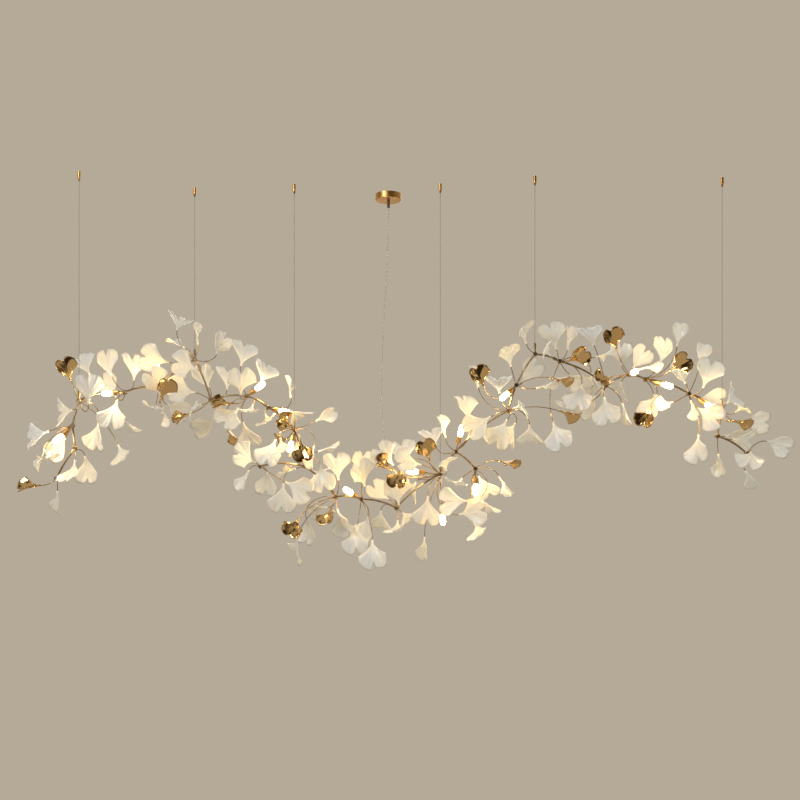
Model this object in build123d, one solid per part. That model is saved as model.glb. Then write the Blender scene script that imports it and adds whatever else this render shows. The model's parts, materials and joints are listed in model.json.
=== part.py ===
from build123d import *
import copy
import math
import os
from typing import NamedTuple

# A ceiling chandelier: ceramic ginkgo leaves on a brass branch hung from six wires.
# Millimetres, +Z up. The ceiling is Z = 0, the canopy is centred on the origin and
# the branch runs along X. The side seen in the picture faces -Y.

# Canopy on the ceiling
CANOPY_RADIUS = 52.5
CANOPY_HEIGHT = 26.0
CANOPY_WALL = 1.5
CANOPY_EDGE = 3.0
PLATE_RADIUS = 47.5
PLATE_THICKNESS = 2.0
PLATE_RIM = 10.0
CEILING_SCREW_SPACING = 70.0
CEILING_SCREW_HOLE = 2.25
MAINS_HOLE = 6.0
MAINS_OFFSET = 26.0
BLOCK_SIZE = (30.0, 20.0, 14.0)
THUMB_SCREW_RADIUS = 2.0
THUMB_SCREW_HEAD = 4.5
THUMB_SCREW_HEAD_LENGTH = 6.0
THUMB_SCREW_DROP = 7.0
THUMB_SCREW_GAP = 0.3

# Cord and its fittings
CORD_RADIUS = 3.0
GRIP_RADIUS = 6.0
GRIP_SHOULDER = 1.2
GRIP_LENGTH = 28.0
GRIP_NUT_RADIUS = 9.0
GRIP_NUT_HEIGHT = 3.5
INLET_RADIUS = 6.0
INLET_HEIGHT = 26.0
INLET_BORE_DEPTH = 14.0

# Wire grippers on the ceiling
GRIPPER_RADIUS = 6.25
GRIPPER_HEIGHT = 28.0
GRIPPER_CHAMFER = 1.2
STUD_HOLE_RADIUS = 2.5
STUD_HOLE_DEPTH = 8.0
CHAMBER_RADIUS = 4.4
CHAMBER_TOP = 12.0
CHAMBER_BOTTOM = 26.0
NOZZLE_RADIUS = 3.0
NOZZLE_FLANGE = 2.5
NOZZLE_BOTTOM = 36.0
BALL_RADIUS = 0.95
BALL_GAP = 0.02
SPRING_WALL = 0.8
WIRE_RADIUS = 0.75
WIRE_TOP = 14.0

# Branch metalwork
HUB_RADIUS = 9.5
HUB_SIDES = 8
HUB_HALF_DEPTH = 8.0
HUB_CHAMFER = 2.5
CHAMBER_SHARE = 0.55
TUBE_RADIUS = 3.6
TUBE_BORE = 2.5
BORE_RELIEF = 0.25
CORE_RADIUS = 2.2
TUBE_BOW = 0.07
TWIG_RADIUS = 1.6
TWIG_GRIP = 6.0
STEM_RADIUS = 2.5
STEM_INSERT = 5.0
STEM_BORE = 1.5
SLEEVE_RADIUS = 6.0
SLEEVE_LENGTH = 16.0
SLEEVE_SETBACK = 4.0
SET_SCREW_RADIUS = 1.5
SET_SCREW_STAND = 0.6
POST_RADIUS = 3.0
POST_HEIGHT = 26.0
POST_INSERT = 6.0
ANCHOR_RADIUS = 4.5
ANCHOR_HEIGHT = 22.0
ANCHOR_BORE_DEPTH = 10.0
SOCKET_CHAMFER = 0.8

# Leaf bodies
LEAF_THICKNESS = 3.0
NECK_RADIUS = 4.4
NECK_TOP_RADIUS = 1.7
NECK_LENGTH = 32.0
NECK_START = 8.0
NECK_HALF_WIDTH = 2.8
BORE_DEPTH = 10.0
TWIG_INSERT = 9.6
TWIG_STUB = 5.0
WING_ROUND = 7.0
NOTCH_ROUND = 2.5
CURVE_START = 22.0
WING_SHARE = 0.62
LOBE_SHARE = 0.5

# Lamps
HOLDER_RADIUS = 9.5
HOLDER_LENGTH = 30.0
HOLDER_FLOOR = 7.0
HOLDER_BORE = 8.0
HOLDER_ROUND = 2.0
INSERT_HEIGHT = 10.0
LAMP_FOOT_RADIUS = 6.8
LAMP_RADIUS = 10.0
LAMP_NECK = 2.0
LAMP_SHOULDER = 9.0
LAMP_BODY = 24.0
LAMP_CENTRE = 52.0

# Clearances
SLIDE_CLEARANCE = 0.2
PLUG_CLEARANCE = 0.1
CORD_CLEARANCE = 0.7

# Point the spread is drawn from, and the six hanging points on the ceiling
VIEW_POINT = Vector(45, -4465, -1320)
HANG_POINTS = [(-1170, -295), (-770, -90), (-370, -130), (205, -140), (565, -240), (1290, -220)]

# Cord from the terminal block to the inlet on the branch
CORD_ROUTE = [
    (0, 0, -16),
    (0, 0, -98),
    (-2, -3, -183),
    (-5, -9, -270),
    (-9, -17, -357),
    (-14, -27, -444),
    (-19, -38, -530),
    (-23.5, -50, -615),
    (-27, -62.5, -700),
    (-28.5, -75, -785),
    (-27, -87, -868),
    (-21, -99, -950),
    (-11, -110, -1030),
    (3, -119.5, -1098),
    (19, -129.5, -1163),
    (32.5, -137, -1203),
    (32.5, -137, -1242),
]


class Mould(NamedTuple):
    """One leaf mould: outline size, notch, and how the leaf is cupped and bent back."""
    length: float
    width: float
    notch: float
    cup: float
    bend: float


WIDE = Mould(length=115, width=105, notch=26, cup=80, bend=175)
MEDIUM = Mould(length=98, width=84, notch=15, cup=85, bend=0)
NARROW = Mould(length=95, width=50, notch=8, cup=28, bend=240)
GOLD = Mould(length=92, width=72, notch=12, cup=42, bend=160)


class Leaf(NamedTuple):
    """One leaf: mould, foot (x, z, out), tip (x, z), lean to the viewer and turn."""
    mould: Mould
    x: float
    z: float
    out: float
    tip_x: float
    tip_z: float
    lean: int
    turn: float


class Hub(NamedTuple):
    """One hub of the branch with its lamp points, its leaves and what hangs on it."""
    name: str
    x: float
    z: float
    out: float
    lamps: list
    leaves: list
    hung_from: int = 0
    side_of: str = ""


LEFT_END = [
    Hub("left_tip", -1255, -1165, 0, [], [
        Leaf(GOLD, -1310, -1190, 10, -1398, -1196, 1, 60),
        Leaf(NARROW, -1252, -1212, 0, -1256, -1300, -1, 60),
    ]),
    Hub("left_fork", -1185, -1050, 0, [], [
        Leaf(MEDIUM, -1185, -1095, 15, -1200, -1190, 1, 45),
        Leaf(MEDIUM, -1150, -1080, -40, -1130, -1160, -1, 30),
    ]),
    Hub("left_lamp", -1195, -965, 10, [(-1250, -1015, 30)], [
        Leaf(NARROW, -1300, -1055, -20, -1340, -1150, -1, 80),
        Leaf(MEDIUM, -1282, -1065, 25, -1286, -1120, 1, 10),
        Leaf(WIDE, -1285, -985, -10, -1390, -1020, -1, 40),
        Leaf(MEDIUM, -1222, -1010, -45, -1262, -1075, -1, 20),
    ]),
    Hub("wire_1", -1170, -870, 0, [], [
        Leaf(WIDE, -1195, -905, -35, -1280, -920, -1, 15),
        Leaf(GOLD, -1200, -795, 26, -1228, -718, 1, 20),
        Leaf(WIDE, -1135, -768, -30, -1185, -680, -1, 25),
        Leaf(WIDE, -1138, -882, 62, -1137, -775, 1, 25),
        Leaf(WIDE, -1105, -945, -15, -1128, -1060, -1, 50),
        Leaf(MEDIUM, -1040, -1032, 10, -1010, -1110, 1, 25),
    ], hung_from=1),
    Hub("left_shoulder", -1015, -828, 0, [(-1078, -836, 60)], [
        Leaf(MEDIUM, -1060, -772, -10, -1095, -690, -1, 30),
        Leaf(MEDIUM, -1045, -850, -60, -1090, -790, -1, 10),
        Leaf(WIDE, -1042, -862, 50, -1072, -968, 1, 20),
        Leaf(NARROW, -1030, -930, -20, -950, -992, -1, 80),
        Leaf(WIDE, -985, -782, -20, -985, -668, -1, 30),
    ]),
]

LEFT_CREST = [
    Hub("crest_lamp", -895, -800, -10, [(-905, -730, 5)], [
        Leaf(WIDE, -890, -832, 62, -922, -745, 1, 30),
        Leaf(GOLD, -890, -845, 105, -866, -782, 1, 25),
        Leaf(MEDIUM, -900, -868, 10, -932, -918, 1, 20),
        Leaf(MEDIUM, -868, -868, -25, -815, -888, -1, 15),
        Leaf(NARROW, -886, -888, 30, -868, -940, 1, 75),
    ]),
    Hub("wire_2", -770, -685, 0, [], [
        Leaf(WIDE, -862, -702, 45, -972, -680, 1, 5),
        Leaf(WIDE, -833, -572, -50, -822, -488, -1, 20),
        Leaf(NARROW, -757, -622, 20, -764, -548, 1, 75),
        Leaf(MEDIUM, -682, -662, -40, -672, -600, -1, 45),
        Leaf(NARROW, -805, -640, -15, -860, -613, -1, 75),
        Leaf(WIDE, -765, -722, 85, -842, -690, 1, 15),
    ], hung_from=2),
    Hub("crest_fork", -705, -845, 0, [], [
        Leaf(WIDE, -770, -815, 35, -865, -800, 1, 15),
        Leaf(MEDIUM, -712, -795, -42, -752, -735, -1, 25),
        Leaf(GOLD, -772, -892, 20, -850, -932, 1, 70),
        Leaf(MEDIUM, -745, -864, 8, -812, -876, 1, -40),
        Leaf(MEDIUM, -691, -918, -25, -742, -975, -1, 35),
        Leaf(WIDE, -640, -805, -50, -632, -702, -1, 15),
    ]),
    Hub("slope_lamp", -560, -832, 0, [(-505, -792, 25)], [
        Leaf(GOLD, -608, -860, 60, -692, -858, 1, 60),
        Leaf(WIDE, -592, -880, 25, -655, -930, 1, 20),
        Leaf(GOLD, -640, -940, 30, -605, -1020, 1, 80),
        Leaf(WIDE, -575, -935, 0, -545, -1035, -1, 15),
        Leaf(WIDE, -585, -825, 75, -580, -738, 1, 10),
        Leaf(WIDE, -583, -712, -10, -562, -605, -1, 15),
        Leaf(WIDE, -505, -785, -30, -470, -690, -1, 20),
        Leaf(MEDIUM, -535, -866, 62, -562, -925, 1, 25),
    ]),
]

LEFT_SLOPE = [
    Hub("slope_middle", -472, -878, 10, [(-410, -894, 62)], [
        Leaf(NARROW, -383, -838, -15, -394, -750, -1, 80),
        Leaf(WIDE, -392, -888, -40, -322, -925, -1, 45),
        Leaf(MEDIUM, -485, -905, 50, -465, -965, 1, 15),
    ]),
    Hub("wire_3", -370, -965, 0, [(-385, -1035, 48)], [
        Leaf(GOLD, -385, -955, 55, -422, -925, 1, 20),
        Leaf(NARROW, -285, -932, 5, -205, -892, 1, 20),
        Leaf(WIDE, -445, -1005, 10, -490, -1095, 1, 25),
        Leaf(MEDIUM, -425, -1000, 80, -410, -1085, 1, 15),
        Leaf(GOLD, -400, -1000, -30, -450, -1030, -1, 30),
        Leaf(GOLD, -345, -1010, 60, -332, -1090, 1, 5),
        Leaf(NARROW, -291, -1030, 30, -312, -1122, 1, 60),
        Leaf(NARROW, -275, -1052, -25, -190, -1022, -1, 78),
        Leaf(WIDE, -360, -1000, -60, -330, -1080, -1, 20),
    ], hung_from=3),
    Hub("slope_foot", -330, -1110, 0, [], [
        Leaf(WIDE, -268, -1102, 18, -256, -1203, 1, 15),
        Leaf(WIDE, -413, -1178, 92, -424, -1298, 1, 5),
        Leaf(NARROW, -365, -1120, -15, -442, -1145, -1, 75),
        Leaf(WIDE, -300, -1130, -55, -250, -1150, -1, 30),
    ]),
    Hub("slope_side", -505, -1110, 0, [], [
        Leaf(WIDE, -525, -1095, 25, -590, -1055, 1, 30),
        Leaf(MEDIUM, -480, -1130, -30, -475, -1190, -1, 20),
        Leaf(NARROW, -552, -1125, 10, -592, -1200, 1, 50),
        Leaf(WIDE, -405, -1172, 45, -308, -1225, 1, 10),
    ], side_of="slope_foot"),
]

BOTTOM = [
    Hub("bottom_fork", -205, -1230, 0, [], [
        Leaf(WIDE, -196, -1165, -25, -206, -1050, -1, 10),
        Leaf(WIDE, -240, -1272, -15, -345, -1280, -1, -50),
        Leaf(GOLD, -222, -1275, 35, -250, -1330, 1, 50),
        Leaf(GOLD, -352, -1318, 40, -390, -1378, 1, 10),
        Leaf(WIDE, -358, -1398, 0, -372, -1482, -1, 60),
        Leaf(MEDIUM, -322, -1318, -35, -300, -1390, -1, 50),
        Leaf(WIDE, -200, -1280, 20, -168, -1385, 1, 50),
    ]),
    Hub("bottom_lamp", -105, -1240, 0, [(-158, -1208, 60)], [
        Leaf(WIDE, -120, -1345, 20, -132, -1450, 1, 20),
        Leaf(WIDE, -62, -1402, 65, -60, -1505, 1, 10),
        Leaf(MEDIUM, -78, -1312, -20, -100, -1385, -1, 20),
        Leaf(MEDIUM, -105, -1155, -30, -105, -1062, -1, 15),
        Leaf(WIDE, -92, -1188, 15, -108, -1105, 1, 35),
    ]),
    Hub("bottom_inlet", 32.5, -1275, 0, [], [
        Leaf(WIDE, -28, -1285, -8, -32, -1378, -1, 20),
        Leaf(MEDIUM, 38, -1325, 45, 28, -1398, 1, 30),
        Leaf(WIDE, 55, -1292, -30, 105, -1335, -1, 20),
        Leaf(WIDE, 42, -1262, 50, 28, -1165, 1, 15),
        Leaf(MEDIUM, 2, -1240, -10, -55, -1208, -1, 30),
    ]),
    Hub("wire_4", 205, -1142, 0, [(95, -1130, 40), (215, -1320, -45)], [
        Leaf(GOLD, 52, -1120, 95, 28, -1190, 1, 20),
        Leaf(GOLD, 22, -1128, 40, -38, -1085, 1, 55),
        Leaf(WIDE, 75, -1108, -15, 45, -1000, -1, 10),
        Leaf(WIDE, 20, -1105, 10, -35, -1040, 1, 15),
        Leaf(WIDE, 130, -1105, 75, 45, -1085, 1, 45),
        Leaf(GOLD, 162, -1088, 15, 140, -1012, 1, 10),
        Leaf(WIDE, 110, -1175, -65, 70, -1230, -1, 20),
        Leaf(WIDE, 156, -1228, 50, 150, -1348, 1, 10),
        Leaf(NARROW, 143, -1388, 15, 138, -1485, -1, 45),
        Leaf(MEDIUM, 228, -1128, 40, 214, -1062, 1, 20),
        Leaf(WIDE, 280, -1300, 45, 378, -1285, 1, 10),
    ], hung_from=4),
]

RIGHT_SLOPE = [
    Hub("rise_lamp", 265, -1055, 0, [(286, -972, 30)], [
        Leaf(WIDE, 318, -940, -10, 296, -822, -1, 45),
        Leaf(NARROW, 225, -1000, 32, 206, -912, 1, 60),
        Leaf(WIDE, 188, -1030, -55, 160, -945, -1, 10),
    ]),
    Hub("rise_side", 340, -1122, 0, [(342, -1205, 35)], [
        Leaf(WIDE, 312, -1248, 68, 200, -1252, 1, 5),
        Leaf(MEDIUM, 288, -1160, 35, 255, -1205, 1, 25),
        Leaf(WIDE, 352, -1150, -30, 400, -1240, -1, 15),
        Leaf(NARROW, 362, -1245, -15, 425, -1292, -1, 75),
        Leaf(MEDIUM, 340, -1332, 5, 366, -1412, 1, 20),
        Leaf(NARROW, 430, -1152, 5, 484, -1238, 1, 65),
        Leaf(GOLD, 425, -1092, 20, 508, -1104, 1, 85),
    ], side_of="rise_lamp"),
    Hub("rise_fork", 465, -900, 0, [], [
        Leaf(WIDE, 462, -935, 55, 405, -1035, 1, 15),
        Leaf(WIDE, 492, -950, -15, 440, -1025, -1, 20),
        Leaf(WIDE, 398, -922, 80, 318, -972, 1, 20),
        Leaf(MEDIUM, 490, -890, 60, 560, -880, 1, 25),
        Leaf(GOLD, 656, -902, 30, 748, -930, 1, 60),
        Leaf(WIDE, 545, -955, 5, 552, -1040, -1, 10),
        Leaf(NARROW, 352, -805, -25, 326, -705, -1, 60),
        Leaf(WIDE, 432, -832, -20, 425, -745, -1, 5),
    ]),
    Hub("rise_top", 495, -802, 0, [(450, -843, 52)], [
        Leaf(GOLD, 374, -808, 15, 346, -730, 1, 20),
        Leaf(MEDIUM, 476, -730, 5, 456, -642, 1, 15),
        Leaf(MEDIUM, 520, -790, -35, 552, -730, -1, 20),
        Leaf(NARROW, 572, -815, 30, 645, -796, 1, 75),
        Leaf(GOLD, 622, -775, 50, 700, -785, 1, 80),
    ]),
    Hub("wire_5", 565, -685, 0, [], [
        Leaf(MEDIUM, 532, -642, 10, 508, -565, 1, 40),
    ], hung_from=5),
]

RIGHT_END = [
    Hub("crown_fork", 660, -712, 0, [], [
        Leaf(WIDE, 648, -668, -45, 618, -550, -1, 15),
        Leaf(MEDIUM, 625, -690, 52, 585, -640, 1, 25),
        Leaf(NARROW, 690, -668, 10, 702, -580, 1, 55),
        Leaf(GOLD, 692, -712, 40, 760, -680, 1, 30),
        Leaf(MEDIUM, 700, -762, -20, 752, -795, -1, 25),
        Leaf(WIDE, 636, -946, 20, 668, -1042, 1, 10),
        Leaf(WIDE, 782, -755, -40, 786, -850, -1, 20),
        Leaf(WIDE, 745, -802, 15, 724, -895, 1, 15),
        Leaf(NARROW, 800, -695, -30, 872, -676, -1, 75),
    ]),
    Hub("crown_low", 840, -805, 0, [], [
        Leaf(WIDE, 832, -850, 30, 846, -950, 1, 10),
        Leaf(MEDIUM, 798, -842, -10, 768, -900, -1, 30),
        Leaf(NARROW, 902, -872, 10, 932, -968, 1, 65),
        Leaf(WIDE, 794, -650, -26, 760, -560, -1, 30),
        Leaf(MEDIUM, 745, -880, -20, 680, -892, -1, 70),
    ]),
    Hub("crown_lamp", 930, -762, 0, [(950, -752, 72)], [
        Leaf(GOLD, 882, -668, 10, 860, -590, 1, 15),
        Leaf(MEDIUM, 900, -725, -75, 890, -670, -1, 20),
        Leaf(MEDIUM, 945, -738, -20, 978, -672, -1, 20),
        Leaf(NARROW, 968, -742, 25, 1042, -724, 1, 70),
        Leaf(GOLD, 858, -772, 45, 815, -782, 1, 40),
        Leaf(WIDE, 900, -790, -60, 880, -850, -1, 20),
    ]),
    Hub("fall_lamp", 992, -780, 0, [(1078, -804, 75)], [
        Leaf(GOLD, 1015, -885, 25, 975, -962, 1, 25),
        Leaf(MEDIUM, 1035, -840, -15, 1012, -905, -1, 30),
        Leaf(MEDIUM, 1045, -722, -15, 1078, -652, 0, -35),
        Leaf(NARROW, 1115, -652, 0, 1130, -560, 1, 10),
        Leaf(GOLD, 1085, -748, 45, 1152, -702, 1, 10),
    ]),
    Hub("fall_middle", 1160, -835, 0, [(1245, -885, 60)], [
        Leaf(MEDIUM, 1148, -795, -20, 1112, -742, -1, 40),
        Leaf(NARROW, 1202, -728, -10, 1225, -636, -1, 10),
        Leaf(WIDE, 1215, -812, 35, 1256, -708, 1, 10),
        Leaf(NARROW, 1168, -862, 35, 1190, -925, 1, 60),
        Leaf(MEDIUM, 1205, -850, -45, 1280, -850, -1, 10),
        Leaf(WIDE, 1195, -890, 60, 1268, -938, 1, 10),
        Leaf(WIDE, 1198, -995, 10, 1185, -1098, 1, 40),
        Leaf(NARROW, 1098, -868, 15, 1032, -886, 1, 35),
    ]),
    Hub("wire_6", 1290, -905, 0, [], [
        Leaf(GOLD, 1315, -940, 30, 1400, -945, 1, 70),
        Leaf(WIDE, 1308, -872, -15, 1368, -812, -1, 20),
        Leaf(MEDIUM, 1345, -905, 15, 1392, -868, 1, 20),
        Leaf(MEDIUM, 1375, -948, -20, 1448, -935, -1, 20),
    ], hung_from=6),
    Hub("right_bend", 1272, -998, 0, [], [
        Leaf(NARROW, 1275, -1068, 5, 1284, -1155, 1, 35),
        Leaf(MEDIUM, 1302, -998, -78, 1388, -980, -1, 50),
        Leaf(WIDE, 1330, -1012, 5, 1435, -1022, -1, 20),
    ]),
    Hub("right_tip", 1385, -1065, 0, [], [
        Leaf(NARROW, 1380, -1132, 0, 1425, -1208, -1, 40),
        Leaf(MEDIUM, 1462, -1018, 0, 1538, -1032, -1, 20),
        Leaf(WIDE, 1402, -1058, 45, 1392, -1103, 1, 0),
    ]),
]

MODULES = [LEFT_END, LEFT_CREST, LEFT_SLOPE, BOTTOM, RIGHT_SLOPE, RIGHT_END]
INLET_HUB = "bottom_inlet"


def curtain_depth(x):
    """Y of the branch below the straight lines that join the hanging points."""
    if x <= HANG_POINTS[0][0]:
        return HANG_POINTS[0][1]
    for (x0, y0), (x1, y1) in zip(HANG_POINTS, HANG_POINTS[1:]):
        if x <= x1:
            return y0 + (y1 - y0) * (x - x0) / (x1 - x0)
    return HANG_POINTS[-1][1]


def in_space(x, z, out):
    """Point at (x, z) on the curtain, moved along the sight line by out towards the viewer."""
    on_curtain = Vector(x, curtain_depth(x), z)
    sight = VIEW_POINT - on_curtain
    return on_curtain + sight * (out / -sight.Y)


def leaf_plane(leaf):
    """Plane of a leaf: origin at its foot, y along the leaf, z out of its cupped face."""
    foot = in_space(leaf.x, leaf.z, leaf.out)
    across = in_space(leaf.tip_x, leaf.tip_z, leaf.out) - foot
    reach = min(across.length / leaf.mould.length, 1.0)
    sight = (VIEW_POINT - foot).normalized()
    lean = leaf.lean * math.sqrt(1.0 - reach * reach)
    axis = (across.normalized() * reach + sight * lean).normalized()
    face = (sight - axis * sight.dot(axis)).normalized()
    turn = math.radians(leaf.turn)
    normal = face * math.cos(turn) + axis.cross(face) * math.sin(turn)
    return Plane(foot, x_dir=axis.cross(normal), z_dir=normal)


def hub_centre(hub):
    return in_space(hub.x, hub.z, hub.out)


def twig_edges(leaf, hub):
    """Straight stub in the leaf's neck, then an arc back into the hub."""
    plane = leaf_plane(leaf)
    axis = plane.y_dir
    bend = plane.origin - axis * TWIG_STUB
    inward = (hub_centre(hub) - bend).normalized()
    end = hub_centre(hub) - inward * TWIG_GRIP
    stub = Edge.make_line(plane.origin + axis * TWIG_INSERT, bend)
    if (end - bend).normalized().dot(axis) < -0.9999:
        return [stub, Edge.make_line(bend, end)]
    return [stub, Edge.make_tangent_arc(bend, axis * -1, end)]


def link_edge(start, end):
    """Branch tube line between two hub centres, bowed a little upwards."""
    middle = (start + end) * 0.5 + Vector(0, 0, TUBE_BOW * (end - start).length)
    return Edge.make_three_point_arc(start, middle, end)


def rod(edges, radius, bore=0.0):
    """Round rod, or tube if it has a bore, along lines and arcs that touch one another."""
    ring = Circle(radius) - Circle(bore) if bore else Circle(radius)
    pieces = []
    for edge in edges:
        start = edge @ 0
        heading = edge % 0
        section = Plane(start, z_dir=heading) * ring
        if edge.geom_type == GeomType.LINE:
            pieces.append(extrude(section, amount=edge.length, dir=heading))
        else:
            axis = Axis(edge.arc_center, (start - edge.arc_center).cross(heading))
            pieces.append(revolve(section, axis, math.degrees(edge.length / edge.radius)))
    return Part() + pieces


def hub_prism(share=1.0):
    """Eight-sided hub about the origin, its axis along Y, at a share of its full size."""
    flat_up = 180 / HUB_SIDES
    outline = RegularPolygon(share * HUB_RADIUS, HUB_SIDES, rotation=flat_up)
    prism = extrude(outline, amount=share * HUB_HALF_DEPTH, both=True)
    ends = prism.faces().sort_by(Axis.Z)
    prism = chamfer(ends[0].edges() + ends[-1].edges(), share * HUB_CHAMFER)
    return Rot(90, 0, 0) * prism


def hub_body(hub):
    return Pos(hub_centre(hub)) * hub_prism()


def along(edge, from_end, length):
    """Piece of an edge, measured back from its far end."""
    total = edge.length
    return edge.trim((total - from_end - length) / total, (total - from_end) / total)


def leaf_outline(mould):
    """Half of the leaf outline, mirrored: flared sides, round wings, lobes and a notch."""
    half_width = mould.width / 2
    wing_height = WING_SHARE * mould.length
    rim = mould.length
    notch_point = (0, rim - mould.notch)
    side_start = (NECK_HALF_WIDTH, NECK_START)
    wing = (half_width, wing_height)
    lobe_top = (LOBE_SHARE * half_width, rim)
    side = TangentArc(side_start, wing, tangent=(0, 1))
    lobe = ThreePointArc(wing, lobe_top, notch_point)
    foot = Line((0, NECK_START), side_start)
    half = make_face([foot, side, lobe, Line(notch_point, (0, NECK_START))])
    whole = half + mirror(half, about=Plane.YZ)
    corners = whole.vertices().group_by(Axis.X)
    whole = fillet([corners[0][0], corners[-1][0]], WING_ROUND)
    notch = whole.vertices().sort_by_distance((*notch_point, 0))[0]
    return fillet(notch, NOTCH_ROUND)


def leaf_shell(mould):
    """Thin doubly curved shell: cupped across, and dished or bent back along the leaf."""
    half = LEAF_THICKNESS / 2
    if mould.bend == 0:
        middle = Pos(0, CURVE_START, mould.cup)
        return middle * (Sphere(mould.cup + half) - Sphere(mould.cup - half))
    ring = mould.cup + mould.bend
    middle = Pos(0, CURVE_START, mould.cup) * Rot(90, 0, 0)
    return middle * (Torus(ring, mould.bend + half) - Torus(ring, mould.bend - half))


def leaf_body(mould):
    """Leaf with its foot at the origin, growing along +Y, with a blind bore for the twig."""
    prism = extrude(leaf_outline(mould), amount=mould.cup, both=True)
    blade = (prism & leaf_shell(mould)).solids().sort_by(SortBy.VOLUME)[-1]
    grow = Rot(-90, 0, 0)
    neck = grow * Pos(0, 0, NECK_LENGTH / 2) * Cone(NECK_RADIUS, NECK_TOP_RADIUS, NECK_LENGTH)
    bore = grow * Pos(0, 0, BORE_DEPTH / 2) * Cylinder(TWIG_RADIUS + PLUG_CLEARANCE, BORE_DEPTH)
    return (Part() + neck + blade) - bore


def canopy_parts():
    floor = CANOPY_HEIGHT - CANOPY_WALL
    cup = Pos(0, 0, -CANOPY_HEIGHT / 2) * Cylinder(CANOPY_RADIUS, CANOPY_HEIGHT)
    cup = fillet(cup.edges().sort_by(Axis.Z)[0], CANOPY_EDGE)
    cup -= Pos(0, 0, -floor / 2) * Cylinder(CANOPY_RADIUS - CANOPY_WALL, floor)
    shank = GRIP_RADIUS - GRIP_SHOULDER
    cup -= Pos(0, 0, -CANOPY_HEIGHT) * Cylinder(shank + PLUG_CLEARANCE, 3 * CANOPY_WALL)
    screws = []
    for angle in (90, 270):
        tip = PLATE_RADIUS + THUMB_SCREW_GAP
        turn = Rot(0, 0, angle) * Pos(tip, 0, -THUMB_SCREW_DROP) * Rot(0, 90, 0)
        shank_length = CANOPY_RADIUS - tip
        hole_radius = THUMB_SCREW_RADIUS + PLUG_CLEARANCE
        hole = turn * Pos(0, 0, shank_length) * Cylinder(hole_radius, 4 * CANOPY_WALL)
        cup -= hole
        body = Pos(0, 0, shank_length / 2) * Cylinder(THUMB_SCREW_RADIUS, shank_length)
        head_middle = shank_length + THUMB_SCREW_HEAD_LENGTH / 2
        head = Pos(0, 0, head_middle) * Cylinder(THUMB_SCREW_HEAD, THUMB_SCREW_HEAD_LENGTH)
        screws.append(turn * (body + head))

    plate = Pos(0, 0, -PLATE_THICKNESS / 2) * Cylinder(PLATE_RADIUS, PLATE_THICKNESS)
    rim = Cylinder(PLATE_RADIUS, PLATE_RIM) - Cylinder(PLATE_RADIUS - CANOPY_WALL, PLATE_RIM)
    plate += Pos(0, 0, -PLATE_RIM / 2) * rim
    hole_depth = 3 * PLATE_THICKNESS
    for side in (-1, 1):
        plate -= Pos(side * CEILING_SCREW_SPACING / 2, 0, 0) * Cylinder(CEILING_SCREW_HOLE, hole_depth)
    plate -= Pos(0, MAINS_OFFSET, 0) * Cylinder(MAINS_HOLE, hole_depth)

    block = Pos(0, 0, -PLATE_THICKNESS - BLOCK_SIZE[2] / 2) * Box(*BLOCK_SIZE)
    cord_hole = CORD_RADIUS + CORD_CLEARANCE
    grip_top = -floor + GRIP_NUT_HEIGHT
    grip = Pos(0, 0, (grip_top - CANOPY_HEIGHT) / 2) * Cylinder(shank, grip_top + CANOPY_HEIGHT)
    grip += Pos(0, 0, -CANOPY_HEIGHT - GRIP_LENGTH / 2) * Cylinder(GRIP_RADIUS, GRIP_LENGTH)
    grip -= Cylinder(cord_hole, 4 * GRIP_LENGTH)
    nut_sketch = RegularPolygon(GRIP_NUT_RADIUS, 6) - Circle(shank + PLUG_CLEARANCE)
    nut = Pos(0, 0, -floor) * extrude(nut_sketch, amount=GRIP_NUT_HEIGHT)
    return {
        "canopy_cover": [cup],
        "canopy_thumbscrews": screws,
        "canopy_backplate": [plate],
        "terminal_block": [block],
        "cord_grip": [grip],
        "cord_grip_nut": [nut],
    }


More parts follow.
